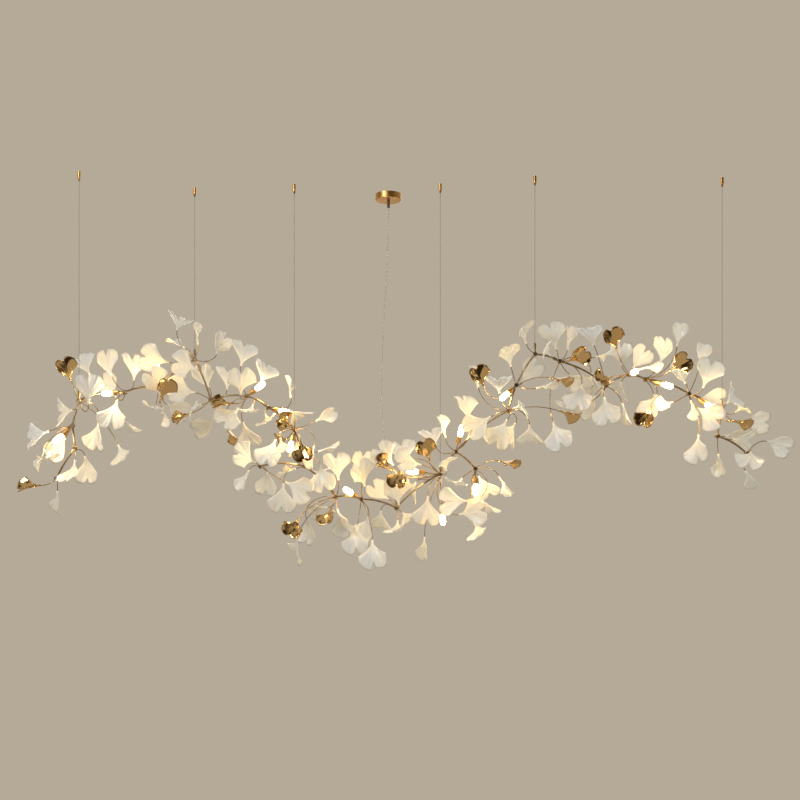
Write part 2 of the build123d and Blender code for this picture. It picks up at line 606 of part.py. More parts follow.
def gripper_parts():
    def tube(outer, inner, top, bottom):
        wall = Cylinder(outer, bottom - top) - Cylinder(inner, bottom - top)
        return Pos(0, 0, -(top + bottom) / 2) * wall

    barrel = Pos(0, 0, -GRIPPER_HEIGHT / 2) * Cylinder(GRIPPER_RADIUS, GRIPPER_HEIGHT)
    barrel = chamfer(barrel.edges().sort_by(Axis.Z)[0], GRIPPER_CHAMFER)
    barrel -= Pos(0, 0, -STUD_HOLE_DEPTH / 2) * Cylinder(STUD_HOLE_RADIUS, STUD_HOLE_DEPTH)
    chamber_height = CHAMBER_BOTTOM - CHAMBER_TOP
    chamber_middle = (CHAMBER_TOP + CHAMBER_BOTTOM) / 2
    barrel -= Pos(0, 0, -chamber_middle) * Cylinder(CHAMBER_RADIUS, chamber_height)
    floor = GRIPPER_HEIGHT - CHAMBER_BOTTOM
    barrel -= Pos(0, 0, -GRIPPER_HEIGHT) * Cylinder(NOZZLE_RADIUS + SLIDE_CLEARANCE, 3 * floor)
    wire_hole = WIRE_RADIUS + SLIDE_CLEARANCE
    flange_radius = CHAMBER_RADIUS - SLIDE_CLEARANCE
    nozzle_top = CHAMBER_BOTTOM - NOZZLE_FLANGE
    nozzle = tube(NOZZLE_RADIUS, wire_hole, nozzle_top, NOZZLE_BOTTOM)
    nozzle += tube(flange_radius, wire_hole, nozzle_top, CHAMBER_BOTTOM)
    spring = tube(flange_radius, flange_radius - SPRING_WALL, CHAMBER_TOP, nozzle_top)
    ball_ring = WIRE_RADIUS + BALL_RADIUS + BALL_GAP
    balls = [Pos(0, 0, BALL_RADIUS - nozzle_top) * place * Sphere(BALL_RADIUS)
             for place in PolarLocations(ball_ring, 3)]
    parts = {"gripper_barrels": [], "gripper_springs": []}
    for number, (x, y) in enumerate(HANG_POINTS, start=1):
        here = Pos(x, y, 0)
        parts["gripper_barrels"].append(here * barrel)
        parts["gripper_springs"].append(here * spring)
        parts[f"release_nozzle_{number}"] = [here * piece for piece in [nozzle, *balls]]
    return parts


def post_socket(radius, height, bore_radius, bore_depth):
    """Turned socket that screws on a hub post, with a bore in its top. Foot at the origin."""
    body = Pos(0, 0, height / 2) * Cylinder(radius, height)
    body = chamfer(body.edges().sort_by(Axis.Z)[-1], SOCKET_CHAMFER)
    foot_depth = POST_INSERT + PLUG_CLEARANCE
    body -= Pos(0, 0, foot_depth / 2) * Cylinder(POST_RADIUS + PLUG_CLEARANCE, foot_depth)
    return body - Pos(0, 0, height - bore_depth / 2) * Cylinder(bore_radius, bore_depth)


def hanging_parts(hubs):
    """Suspension wires with their anchors on the hubs, and the cord inlet."""
    anchor = post_socket(ANCHOR_RADIUS, ANCHOR_HEIGHT, WIRE_RADIUS + PLUG_CLEARANCE, ANCHOR_BORE_DEPTH)
    inlet = post_socket(INLET_RADIUS, INLET_HEIGHT, CORD_RADIUS + PLUG_CLEARANCE, INLET_BORE_DEPTH)
    inlet -= Pos(0, 0, INLET_HEIGHT / 2) * Cylinder(STEM_BORE, INLET_HEIGHT)
    parts = {"wire_anchors": []}
    for hub in hubs:
        foot = hub_centre(hub) + Vector(0, 0, POST_HEIGHT - POST_INSERT)
        if hub.hung_from:
            parts["wire_anchors"].append(Pos(foot) * anchor)
            wire_end = foot.Z + ANCHOR_HEIGHT - ANCHOR_BORE_DEPTH + PLUG_CLEARANCE
            length = -WIRE_TOP - wire_end
            wire = Pos(foot.X, foot.Y, wire_end + length / 2) * Cylinder(WIRE_RADIUS, length)
            parts[f"suspension_wire_{hub.hung_from}"] = [wire]
        if hub.name == INLET_HUB:
            parts["cord_inlet"] = [Pos(foot) * inlet]
    return parts


def cord_edges():
    """Straight runs joined by arcs that touch both runs."""
    points = [Vector(*point) for point in CORD_ROUTE]
    edges = []
    last = points[0]
    for before, corner, after in zip(points, points[1:], points[2:]):
        into = (corner - before).normalized()
        away = (after - corner).normalized()
        half_turn = math.acos(max(-1.0, min(1.0, into.dot(away)))) / 2
        reach = 0.45 * min((corner - before).length, (after - corner).length)
        print(f"cord bend radius {reach / math.tan(half_turn):.0f} mm")
        start = corner - into * reach
        end = corner + away * reach
        edges.append(Edge.make_line(last, start))
        edges.append(Edge.make_tangent_arc(start, into, end))
        last = end
    edges.append(Edge.make_line(last, points[-1]))
    return edges


def power_cord():
    """Round cord along its route, with its volume printed beside section times length."""
    edges = cord_edges()
    section = Plane(edges[0] @ 0, z_dir=edges[0] % 0) * Circle(CORD_RADIUS)
    cord = sweep(section, path=Wire(edges))
    length = sum(edge.length for edge in edges)
    expected = math.pi * CORD_RADIUS ** 2 * length
    print(f"cord length {length:.0f} mm, volume {cord.volume:.0f} of {expected:.0f} mm3")
    return cord


def lamp_parts(hubs):
    """Holder, ceramic insert and lamp of every lamp point, with the holder's stem."""
    holder = Pos(0, 0, HOLDER_LENGTH / 2) * Cylinder(HOLDER_RADIUS, HOLDER_LENGTH)
    holder = fillet(holder.edges().sort_by(Axis.Z)[0], HOLDER_ROUND)
    cavity = HOLDER_LENGTH - HOLDER_FLOOR
    holder -= Pos(0, 0, HOLDER_FLOOR + cavity / 2) * Cylinder(HOLDER_BORE, cavity)
    holder -= Pos(0, 0, STEM_INSERT / 2) * Cylinder(STEM_RADIUS + PLUG_CLEARANCE, STEM_INSERT)
    holder -= Pos(0, 0, HOLDER_FLOOR / 2) * Cylinder(STEM_BORE, HOLDER_FLOOR)
    insert_radius = HOLDER_BORE - PLUG_CLEARANCE
    insert = Pos(0, 0, HOLDER_FLOOR + INSERT_HEIGHT / 2) * Cylinder(insert_radius, INSERT_HEIGHT)
    seat = HOLDER_FLOOR + INSERT_HEIGHT
    neck = HOLDER_LENGTH + LAMP_NECK
    shoulder = neck + LAMP_SHOULDER
    body_end = shoulder + LAMP_BODY
    outline = [
        Line((0, seat), (LAMP_FOOT_RADIUS, seat)),
        Line((LAMP_FOOT_RADIUS, seat), (LAMP_FOOT_RADIUS, neck)),
        Line((LAMP_FOOT_RADIUS, neck), (LAMP_RADIUS, shoulder)),
        Line((LAMP_RADIUS, shoulder), (LAMP_RADIUS, body_end)),
        RadiusArc((LAMP_RADIUS, body_end), (0, body_end + LAMP_RADIUS), -LAMP_RADIUS),
        Line((0, body_end + LAMP_RADIUS), (0, seat)),
    ]
    lamp = revolve(Plane.XZ * make_face(outline), Axis.Z)
    parts = {"lamp_holders": [], "lamp_inserts": [], "lamps": []}
    for hub in hubs:
        for point in hub.lamps:
            place = lamp_plane(hub, point).location
            parts["lamp_holders"].append(place * holder)
            parts["lamp_inserts"].append(place * insert)
            parts["lamps"].append(place * lamp)
    return parts


def lamp_plane(hub, point):
    """Plane of a lamp: origin on the back of its holder, z towards the lamp's end."""
    target = in_space(*point)
    direction = (target - hub_centre(hub)).normalized()
    return Plane(target - direction * LAMP_CENTRE, z_dir=direction)


def stem_edge(hub, point):
    plane = lamp_plane(hub, point)
    start = hub_centre(hub) + plane.z_dir * TWIG_GRIP
    return Edge.make_line(start, plane.origin + plane.z_dir * (STEM_INSERT - PLUG_CLEARANCE))


class Link(NamedTuple):
    """One branch tube: the module it is brazed to, its two hubs and if it carries wiring."""
    module: int
    start: Hub
    end: Hub
    wired: bool


def branch_links():
    """Tubes in order along the branch. Wiring runs between the outermost lamps."""
    chain = [hub for module in MODULES for hub in module if not hub.side_of]
    lit = [place for place, hub in enumerate(chain) if hub.lamps]
    owners = {hub.name: number for number, module in enumerate(MODULES, start=1) for hub in module}
    links = []
    for place, (start, end) in enumerate(zip(chain, chain[1:])):
        wired = lit[0] <= place < lit[-1]
        links.append(Link(owners[start.name], start, end, wired))
    for module in MODULES:
        by_name = {hub.name: hub for hub in module}
        for hub in module:
            if hub.side_of:
                links.append(Link(owners[hub.name], hub, by_name[hub.side_of], bool(hub.lamps)))
    return links


def tube_line(link):
    return link_edge(hub_centre(link.start), hub_centre(link.end))


def drilled_hub(hub, links):
    """Hub with its wiring chamber and the bores that lead into it."""
    centre = hub_centre(hub)
    body = hub_body(hub)
    lines = [tube_line(link) for link in links if link.wired and hub in (link.start, link.end)]
    if lines:
        body -= Pos(centre) * hub_prism(CHAMBER_SHARE)
    for line in lines:
        body -= rod([line], TUBE_BORE + BORE_RELIEF)
    for point in hub.lamps:
        body -= rod([Edge.make_line(centre, stem_edge(hub, point) @ 1)], STEM_BORE + BORE_RELIEF)
    if hub.name == INLET_HUB:
        body -= rod([Edge.make_line(centre, centre + Vector(0, 0, POST_HEIGHT))], STEM_BORE + BORE_RELIEF)
    return body


def hub_post(hub):
    """Upright post that a wire anchor or the cord inlet screws on. The inlet's post is hollow."""
    centre = hub_centre(hub)
    line = Edge.make_line(centre + Vector(0, 0, TWIG_GRIP), centre + Vector(0, 0, POST_HEIGHT))
    return rod([line], POST_RADIUS, STEM_BORE if hub.name == INLET_HUB else 0.0)


def link_tube(link, module):
    """Branch tube from inside its first hub to its second, or up to it if that is in the next module."""
    line = tube_line(link)
    bore = TUBE_BORE if link.wired else 0.0
    if link.end in module:
        return rod([along(line, TWIG_GRIP, line.length - 2 * TWIG_GRIP)], TUBE_RADIUS, bore)
    return rod([along(line, 0, line.length - TWIG_GRIP)], TUBE_RADIUS, bore) - hub_body(link.end)


def leaf_twig(leaf, hub, lines):
    """Twig of a leaf, kept out of the bores of the branch tubes."""
    twig = rod(twig_edges(leaf, hub), TWIG_RADIUS)
    for line in lines:
        twig -= rod([line], TUBE_BORE + BORE_RELIEF)
    return twig


def branch_frame(module, links, number):
    """One brazed frame: hubs, tubes, posts, lamp stems and leaf twigs."""
    own = [link for link in links if link.module == number]
    lines = [tube_line(link) for link in own if link.wired]
    pieces = [drilled_hub(hub, links) for hub in module]
    pieces += [link_tube(link, module) for link in own]
    for hub in module:
        pieces += [leaf_twig(leaf, hub, lines) for leaf in hub.leaves]
        pieces += [rod([stem_edge(hub, point)], STEM_RADIUS, STEM_BORE) for point in hub.lamps]
        if hub.hung_from or hub.name == INLET_HUB:
            pieces.append(hub_post(hub))
    frame = Part()
    for piece in pieces:
        frame += piece
    return frame


def placed_copy(solid, plane):
    """The same solid at another place, sharing its geometry."""
    twin = copy.copy(solid)
    twin.location = plane.location
    return twin


def branch_parts():
    """Brazed frames with their leaves, the sleeves between modules and the wiring."""
    bodies = {mould: leaf_body(mould).solid() for mould in (WIDE, MEDIUM, NARROW, GOLD)}
    for mould, body in bodies.items():
        print(f"leaf {mould.length:.0f} x {mould.width:.0f} mm: volume {body.volume:.0f} mm3")
    parts = {"module_sleeves": [], "sleeve_screws": [], "wiring_cores": []}
    links = branch_links()
    for link in links:
        line = tube_line(link)
        if link.wired:
            core = rod([along(line, HUB_RADIUS, line.length - 2 * HUB_RADIUS)], CORE_RADIUS)
            parts["wiring_cores"].append(core)
        if link.end not in MODULES[link.module - 1]:
            sleeve, screw = sleeve_parts(line)
            parts["module_sleeves"].append(sleeve)
            parts["sleeve_screws"].append(screw)
    for number, module in enumerate(MODULES, start=1):
        parts[f"branch_frame_{number}"] = [branch_frame(module, links, number)]
        leaves = [leaf for hub in module for leaf in hub.leaves]
        for group, gilded in (("white_leaves", False), ("gold_leaves", True)):
            chosen = [leaf for leaf in leaves if (leaf.mould is GOLD) == gilded]
            parts[f"{group}_{number}"] = [placed_copy(bodies[leaf.mould], leaf_plane(leaf))
                                          for leaf in chosen]
    return parts


def sleeve_parts(line):
    """Sleeve over the end of a branch tube, with the set screw that holds it."""
    run = along(line, HUB_RADIUS + SLEEVE_SETBACK, SLEEVE_LENGTH)
    sleeve = rod([run], SLEEVE_RADIUS) - rod([line], TUBE_RADIUS + PLUG_CLEARANCE)
    sleeve = sleeve.solids().sort_by(SortBy.VOLUME)[-1]
    middle = Plane(run @ 0.5, z_dir=(run % 0.5).cross(Vector(0, 1, 0)))
    length = SLEEVE_RADIUS - TUBE_RADIUS + SET_SCREW_STAND
    seat = Pos(0, 0, TUBE_RADIUS + length / 2)
    screw = middle.location * seat * Cylinder(SET_SCREW_RADIUS, length)
    return sleeve - screw, screw


def main():
    os.makedirs("parts", exist_ok=True)
    hubs = [hub for module in MODULES for hub in module]
    parts = {}
    parts.update(canopy_parts())
    parts.update(gripper_parts())
    parts.update(hanging_parts(hubs))
    parts["power_cord"] = [power_cord()]
    parts.update(lamp_parts(hubs))
    parts.update(branch_parts())
    for name, shapes in parts.items():
        solids = [solid for shape in shapes for solid in shape.solids()]
        print(f"{name}: {len(solids)} solids, {sum(s.volume for s in solids):.0f} mm3")
        export_step(Compound(children=solids), f"parts/{name}.step")


if __name__ == "__main__":
    main()
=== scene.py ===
"""Looks of a ceramic ginkgo-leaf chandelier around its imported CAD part, in metres."""

import json
import logging
import math
from dataclasses import dataclass
from enum import Enum
from typing import Any

import bpy
import numpy as np
from mathutils import Matrix, Quaternion, Vector

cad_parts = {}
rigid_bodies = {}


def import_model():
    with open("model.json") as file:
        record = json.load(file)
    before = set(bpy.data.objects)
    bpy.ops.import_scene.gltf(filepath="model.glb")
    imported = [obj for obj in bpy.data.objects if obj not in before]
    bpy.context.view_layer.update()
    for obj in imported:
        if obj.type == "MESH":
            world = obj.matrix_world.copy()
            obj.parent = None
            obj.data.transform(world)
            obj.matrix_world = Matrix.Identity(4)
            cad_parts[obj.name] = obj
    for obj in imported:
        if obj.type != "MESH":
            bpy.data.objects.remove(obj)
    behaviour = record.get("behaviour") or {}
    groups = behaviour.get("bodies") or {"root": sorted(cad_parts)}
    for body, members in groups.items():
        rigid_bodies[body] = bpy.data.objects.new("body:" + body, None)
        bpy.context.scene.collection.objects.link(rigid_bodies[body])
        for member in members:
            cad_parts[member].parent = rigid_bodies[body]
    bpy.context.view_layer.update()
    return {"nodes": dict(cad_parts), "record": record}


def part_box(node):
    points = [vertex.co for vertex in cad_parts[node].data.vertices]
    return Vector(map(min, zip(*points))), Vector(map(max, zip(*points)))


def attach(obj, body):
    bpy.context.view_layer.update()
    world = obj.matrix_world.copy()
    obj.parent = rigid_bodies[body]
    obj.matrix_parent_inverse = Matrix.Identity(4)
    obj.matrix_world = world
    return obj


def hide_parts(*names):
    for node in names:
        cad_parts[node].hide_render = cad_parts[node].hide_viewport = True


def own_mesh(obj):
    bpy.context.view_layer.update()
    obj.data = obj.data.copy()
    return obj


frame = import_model()
LOG = logging.getLogger("chandelier")

CEILING, BRANCH = "ceiling", "branch"
Place = tuple[float, float, float]

CORD_ROUTE = [
    (0.0, 0.0, -0.016),
    (0.0, 0.0, -0.098),
    (-0.002, -0.003, -0.183),
    (-0.005, -0.009, -0.270),
    (-0.009, -0.017, -0.357),
    (-0.014, -0.027, -0.444),
    (-0.019, -0.038, -0.530),
    (-0.0235, -0.050, -0.615),
    (-0.027, -0.0625, -0.700),
    (-0.0285, -0.075, -0.785),
    (-0.027, -0.087, -0.868),
    (-0.021, -0.099, -0.950),
    (-0.011, -0.110, -1.030),
    (0.003, -0.1195, -1.098),
    (0.019, -0.1295, -1.163),
    (0.0325, -0.137, -1.203),
    (0.0325, -0.137, -1.242),
]


class Graph:
    """Adds and links nodes in one node tree."""

    def __init__(self, tree: bpy.types.NodeTree) -> None:
        """Keeps the tree."""
        self.tree = tree

    def node(self, kind: str, inputs: dict[Any, Any] | None = None, **settings: Any) -> bpy.types.Node:
        """Adds a node.

        Args:
            kind: node type name.
            inputs: socket name or index to a value, or to the output socket linked to it.
            settings: attributes of the node itself.

        Returns:
            The new node.
        """
        node = self.tree.nodes.new(kind)
        for name, value in settings.items():
            setattr(node, name, value)
        for key, value in (inputs or {}).items():
            if isinstance(value, bpy.types.NodeSocket):
                self.tree.links.new(value, node.inputs[key])
            else:
                node.inputs[key].default_value = value
        return node

    def math(self, operation: str, first: Any, second: Any = 0.0) -> bpy.types.NodeSocket:
        """Adds a Math node and returns its output."""
        return self.node("ShaderNodeMath", {0: first, 1: second}, operation=operation).outputs[0]

    def remap(self, value: Any, low: float, high: float, to_low: float,
              to_high: float) -> bpy.types.NodeSocket:
        """Adds a clamped Map Range node and returns its output."""
        sockets = {0: value, 1: low, 2: high, 3: to_low, 4: to_high}
        return self.node("ShaderNodeMapRange", sockets).outputs[0]

    def mix(self, factor: Any, first: Any, second: Any) -> bpy.types.NodeSocket:
        """Adds a colour Mix node and returns its output."""
        node = self.node("ShaderNodeMix", {0: factor, 6: first, 7: second}, data_type="RGBA")
        return node.outputs[2]


def group_tree(name: str, kind: str, sockets: list[tuple[str, str, str, Any]]) -> tuple[Graph, Any, Any]:
    """Starts a node group.

    Args:
        name: name of the group.
        kind: node tree type.
        sockets: name, direction, socket type and default of each interface socket.

    Returns:
        The graph, the group's input node and its output node.
    """
    tree = bpy.data.node_groups.new(name, kind)
    for title, direction, socket_type, default in sockets:
        socket = tree.interface.new_socket(name=title, in_out=direction, socket_type=socket_type)
        if default is not None:
            socket.default_value = default
    graph = Graph(tree)
    return graph, graph.node("NodeGroupInput"), graph.node("NodeGroupOutput")


def grain_group() -> bpy.types.NodeTree:
    """Fine stretched grain of drawn, turned or cast metal and of moulded plastic."""
    graph, source, result = group_tree("fine_grain", "ShaderNodeTree", [
        ("Stretch", "INPUT", "NodeSocketVector", (1.0, 1.0, 1.0)),
        ("Scale", "INPUT", "NodeSocketFloat", 900.0),
        ("Height", "INPUT", "NodeSocketFloat", 0.2),
        ("Mask", "OUTPUT", "NodeSocketFloat", None),
        ("Patina", "OUTPUT", "NodeSocketFloat", None),
        ("Normal", "OUTPUT", "NodeSocketVector", None),
    ])
    place = graph.node("ShaderNodeTexCoord").outputs["Object"]
    stretched = graph.node("ShaderNodeVectorMath", {
        0: place, 1: source.outputs["Stretch"]}, operation="MULTIPLY")
    fine = graph.node("ShaderNodeTexNoise", {
        "Vector": stretched.outputs[0], "Scale": source.outputs["Scale"], "Detail": 3.0}).outputs[0]
    broad = graph.node("ShaderNodeTexNoise", {"Vector": place, "Scale": 55.0, "Detail": 4.0}).outputs[0]
    bump = graph.node("ShaderNodeBump", {
        "Strength": source.outputs["Height"], "Distance": 0.0004, "Height": fine})
    graph.tree.links.new(fine, result.inputs["Mask"])
    graph.tree.links.new(broad, result.inputs["Patina"])
    graph.tree.links.new(bump.outputs[0], result.inputs["Normal"])
    return graph.tree


def vein_group() -> bpy.types.NodeTree:
    """Forked veins that fan from a leaf's foot to its rim, with a slightly uneven glaze."""
    graph, source, result = group_tree("leaf_veins", "ShaderNodeTree", [
        ("Height", "INPUT", "NodeSocketFloat", 0.5),
        ("Veins", "OUTPUT", "NodeSocketFloat", None),
        ("Rim", "OUTPUT", "NodeSocketFloat", None),
        ("Pool", "OUTPUT", "NodeSocketFloat", None),
        ("Normal", "OUTPUT", "NodeSocketVector", None),
    ])
    plane = graph.node("ShaderNodeUVMap", uv_map="leaf")
    parts = graph.node("ShaderNodeSeparateXYZ", {0: plane.outputs[0]})
    across, along = parts.outputs[0], parts.outputs[1]
    place = graph.node("ShaderNodeTexCoord").outputs["Object"]
    wander = graph.node("ShaderNodeTexNoise", {"Vector": place, "Scale": 45.0, "Detail": 2.0}).outputs[0]
    shifted = graph.math("ADD", across, graph.math("MULTIPLY", wander, 0.035))

    def ribs(count: float) -> bpy.types.NodeSocket:
        """Mask of a number of ribs across the leaf."""
        wave = graph.math("COSINE", graph.math("MULTIPLY", shifted, count * 2.0 * math.pi))
        return graph.math("POWER", graph.remap(wave, -1.0, 1.0, 0.0, 1.0), 3.0)

    rib_count = 13.0
    outer = graph.remap(along, 0.45, 0.75, 0.0, 1.0)
    inner = graph.math("SUBTRACT", 1.0, outer)
    fine = graph.math("MULTIPLY", ribs(2.0 * rib_count), outer)
    forked = graph.math("ADD", fine, graph.math("MULTIPLY", ribs(rib_count), inner))
    veins = graph.math("MULTIPLY", forked, graph.remap(along, 0.12, 0.35, 0.0, 1.0))
    rim = graph.remap(along, 0.9, 1.0, 0.0, 1.0)
    pool = graph.node("ShaderNodeTexNoise", {"Vector": place, "Scale": 28.0, "Detail": 3.0}).outputs[0]
    peel = graph.node("ShaderNodeTexNoise", {"Vector": place, "Scale": 420.0, "Detail": 1.0}).outputs[0]
    height = graph.math("ADD", graph.math("MULTIPLY", veins, 0.7), graph.math("MULTIPLY", peel, 0.12))
    bump = graph.node("ShaderNodeBump", {
        "Strength": source.outputs["Height"], "Distance": 0.0006, "Height": height})
    for title, socket in (("Veins", veins), ("Rim", rim), ("Pool", pool), ("Normal", bump.outputs[0])):
        graph.tree.links.new(socket, result.inputs[title])
    return graph.tree


class Grain(Enum):
    """Direction of the marks on a surface: the stretch of the grain along X, Y and Z."""

    TURNED = (0.15, 0.15, 2.5)
    DRAWN = (1.0, 1.0, 0.06)
    CAST = (0.5, 0.5, 0.5)
    MOULDED = (0.8, 0.8, 0.8)


@dataclass(frozen=True)
class Finish:
    """One material with grain: metal or plastic.

    Args:
        name: material name.
        low: colour in the dark of the grain and the patina.
        high: colour on top.
        metallic: 1 for metal.
        rough: lowest and highest roughness.
        grain: direction of the marks.
        scale: size of the marks.
        height: strength of the relief.
        coat: clear coat weight.
        transmission: share of light that passes.
    """

    name: str
    low: tuple[float, float, float]
    high: tuple[float, float, float]
    metallic: float
    rough: tuple[float, float]
    grain: Grain
    scale: float = 900.0
    height: float = 0.15
    coat: float = 0.0
    transmission: float = 0.0

    def build(self, grain: bpy.types.NodeTree) -> bpy.types.Material:
        """Makes the material.

        Args:
            grain: the shared grain group.

        Returns:
            The material.
        """
        material = bpy.data.materials.new(self.name)
        material.use_nodes = True
        graph = Graph(material.node_tree)
        shader = material.node_tree.nodes["Principled BSDF"]
        marks = graph.node("ShaderNodeGroup", node_tree=grain)
        marks.inputs["Stretch"].default_value = self.grain.value
        marks.inputs["Scale"].default_value = self.scale
        marks.inputs["Height"].default_value = self.height
        tone = graph.math("MULTIPLY", graph.math("ADD", marks.outputs["Mask"], marks.outputs["Patina"]), 0.5)
        spread = graph.remap(tone, 0.35, 0.65, 0.0, 1.0)
        colour = graph.mix(spread, (*self.low, 1.0), (*self.high, 1.0))
        rough = graph.remap(tone, 0.3, 0.7, self.rough[1], self.rough[0])
        material.node_tree.links.new(colour, shader.inputs["Base Color"])
        material.node_tree.links.new(rough, shader.inputs["Roughness"])
        material.node_tree.links.new(marks.outputs["Normal"], shader.inputs["Normal"])
        shader.inputs["Metallic"].default_value = self.metallic
        shader.inputs["Coat Weight"].default_value = self.coat
        shader.inputs["Transmission Weight"].default_value = self.transmission
        return material


@dataclass(frozen=True)
class LeafFinish:
    """Surface of a leaf: glazed ceramic, or ceramic plated to a mirror.

    Args:
        name: material name.
        cool: colour of the coolest leaves.
        warm: colour of the warmest leaves.
        vein: colour in the veins.
        metallic: 1 for the plated leaves.
        rough: lowest and highest roughness.
        relief: strength of the vein relief.
        scatter: weight of light scattered in the body.
    """

    name: str
    cool: tuple[float, float, float]
    warm: tuple[float, float, float]
    vein: tuple[float, float, float]
    metallic: float
    rough: tuple[float, float]
    relief: float
    scatter: float

    def build(self, veins: bpy.types.NodeTree) -> bpy.types.Material:
        """Makes the material.

        Args:
            veins: the shared vein group.

        Returns:
            The material.
        """
        material = bpy.data.materials.new(self.name)
        material.use_nodes = True
        graph = Graph(material.node_tree)
        shader = material.node_tree.nodes["Principled BSDF"]
        leaf = graph.node("ShaderNodeGroup", node_tree=veins)
        leaf.inputs["Height"].default_value = self.relief
        tone = graph.node("ShaderNodeAttribute", attribute_name="tone").outputs["Fac"]
        body = graph.mix(tone, (*self.cool, 1.0), (*self.warm, 1.0))
        shade = graph.math("MULTIPLY", leaf.outputs["Veins"], 0.35)
        veined = graph.mix(shade, body, (*self.vein, 1.0))
        pooled = graph.mix(graph.math("MULTIPLY", leaf.outputs["Rim"], 0.5), veined, (*self.vein, 1.0))
        rough = graph.remap(leaf.outputs["Pool"], 0.3, 0.7, self.rough[0], self.rough[1])
        material.node_tree.links.new(pooled, shader.inputs["Base Color"])
        material.node_tree.links.new(rough, shader.inputs["Roughness"])
        material.node_tree.links.new(leaf.outputs["Normal"], shader.inputs["Normal"])
        shader.inputs["Metallic"].default_value = self.metallic
        shader.inputs["Subsurface Weight"].default_value = self.scatter
        shader.inputs["Subsurface Radius"].default_value = (0.9, 0.75, 0.5)
        shader.inputs["Subsurface Scale"].default_value = 0.010
        shader.inputs["Coat Weight"].default_value = 0.0 if self.metallic else 0.35
        shader.inputs["Coat Roughness"].default_value = 0.08
        return material


@dataclass(frozen=True)
class LampFinish:
    """Frosted lamp that glows."""

    name: str = "lamp_glow"
    colour: tuple[float, float, float] = (1.0, 0.93, 0.80)
    light: tuple[float, float, float] = (1.0, 0.71, 0.32)
    strength: float = 95.0

    def build(self, grain: bpy.types.NodeTree) -> bpy.types.Material:
        """Makes the material from the shared grain group and returns it."""
        material = bpy.data.materials.new(self.name)
        material.use_nodes = True
        graph = Graph(material.node_tree)
        shader = material.node_tree.nodes["Principled BSDF"]
        frost = graph.node("ShaderNodeGroup", node_tree=grain)
        frost.inputs["Scale"].default_value = 1600.0
        frost.inputs["Height"].default_value = 0.1
        rough = graph.remap(frost.outputs["Mask"], 0.3, 0.7, 0.35, 0.55)
        material.node_tree.links.new(rough, shader.inputs["Roughness"])
        material.node_tree.links.new(frost.outputs["Normal"], shader.inputs["Normal"])
        shader.inputs["Base Color"].default_value = (*self.colour, 1.0)
        shader.inputs["Emission Color"].default_value = (*self.light, 1.0)
        shader.inputs["Emission Strength"].default_value = self.strength
        return material


class Finishes:
    """All materials of the part, made once and found by the record's slot names."""

    GRAINED = (
        Finish("fitting_brass", (0.62, 0.33, 0.10), (0.92, 0.55, 0.20), 1.0, (0.30, 0.42), Grain.TURNED,
               900.0, 0.04),
        Finish("branch_brass", (0.20, 0.135, 0.07), (0.54, 0.40, 0.23), 1.0, (0.22, 0.40), Grain.CAST, 420.0),
        Finish("dark_brass", (0.10, 0.045, 0.02), (0.30, 0.15, 0.07), 1.0, (0.28, 0.45), Grain.TURNED,
               900.0, 0.05),
        Finish("wire_steel", (0.08, 0.075, 0.07), (0.26, 0.24, 0.22), 1.0, (0.30, 0.48), Grain.DRAWN),
        Finish("zinc_steel", (0.45, 0.46, 0.48), (0.72, 0.73, 0.75), 1.0, (0.30, 0.50), Grain.CAST),
        Finish("insert_ceramic", (0.80, 0.78, 0.72), (0.93, 0.92, 0.88), 0.0, (0.5, 0.7), Grain.CAST),
        Finish("white_plastic", (0.80, 0.80, 0.78), (0.92, 0.92, 0.90), 0.0, (0.35, 0.55), Grain.MOULDED),
        Finish("black_plastic", (0.07, 0.045, 0.03), (0.16, 0.11, 0.07), 0.0, (0.35, 0.55), Grain.MOULDED),
        Finish("core_insulation", (0.66, 0.62, 0.52), (0.82, 0.78, 0.68), 0.0, (0.4, 0.6), Grain.MOULDED),
        Finish("clear_cord", (0.78, 0.76, 0.72), (0.90, 0.88, 0.84), 0.0, (0.12, 0.22), Grain.MOULDED,
               600.0, 0.08, 0.2, 0.85),
    )
    LEAVES = (
        LeafFinish("white_glaze", (0.88, 0.86, 0.80), (0.92, 0.86, 0.72), (0.80, 0.72, 0.56), 0.0,
                   (0.22, 0.38), 0.30, 0.55),
        LeafFinish("gold_plate", (0.70, 0.46, 0.20), (0.86, 0.60, 0.29), (0.42, 0.25, 0.10), 1.0,
                   (0.03, 0.10), 0.06, 0.0),
    )

    def __init__(self) -> None:
        """Builds the shared groups and the materials."""
        grain = grain_group()
        veins = vein_group()
        self.by_slot = {finish.name: finish.build(grain) for finish in (*self.GRAINED, LampFinish())}
        self.by_slot |= {finish.name: finish.build(veins) for finish in self.LEAVES}

    def __getitem__(self, slot: str) -> bpy.types.Material:
        """Returns the material of a record slot."""
        return self.by_slot[slot]

    def dress_nodes(self) -> None:
        """Gives every CAD node the material of its record slot."""
        for row in frame["record"]["subparts"]:
            mesh = frame["nodes"][row["node"]].data
            mesh.materials.clear()
            mesh.materials.append(self[row["material_slot"]])
            LOG.info("%s: %s", row["node"], row["material_slot"])


def new_piece(name: str, mesh: bpy.types.ID, body: str, slot: str, *nodes: str) -> bpy.types.Object:
    """Adds a piece that stands for CAD nodes.

    Args:
        name: piece name.
        mesh: its mesh, placed in the part's frame.
        body: CAD body that it rides on.
        slot: record slot of its finish; not used.
        nodes: CAD nodes that it stands for.

    Returns:
        The new object.
    """
    piece = bpy.data.objects.new(name, mesh)
    bpy.context.scene.collection.objects.link(piece)
    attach(piece, body)
    if nodes:
        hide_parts(*nodes)
    LOG.info("%s rides on %s", name, body)
    return piece


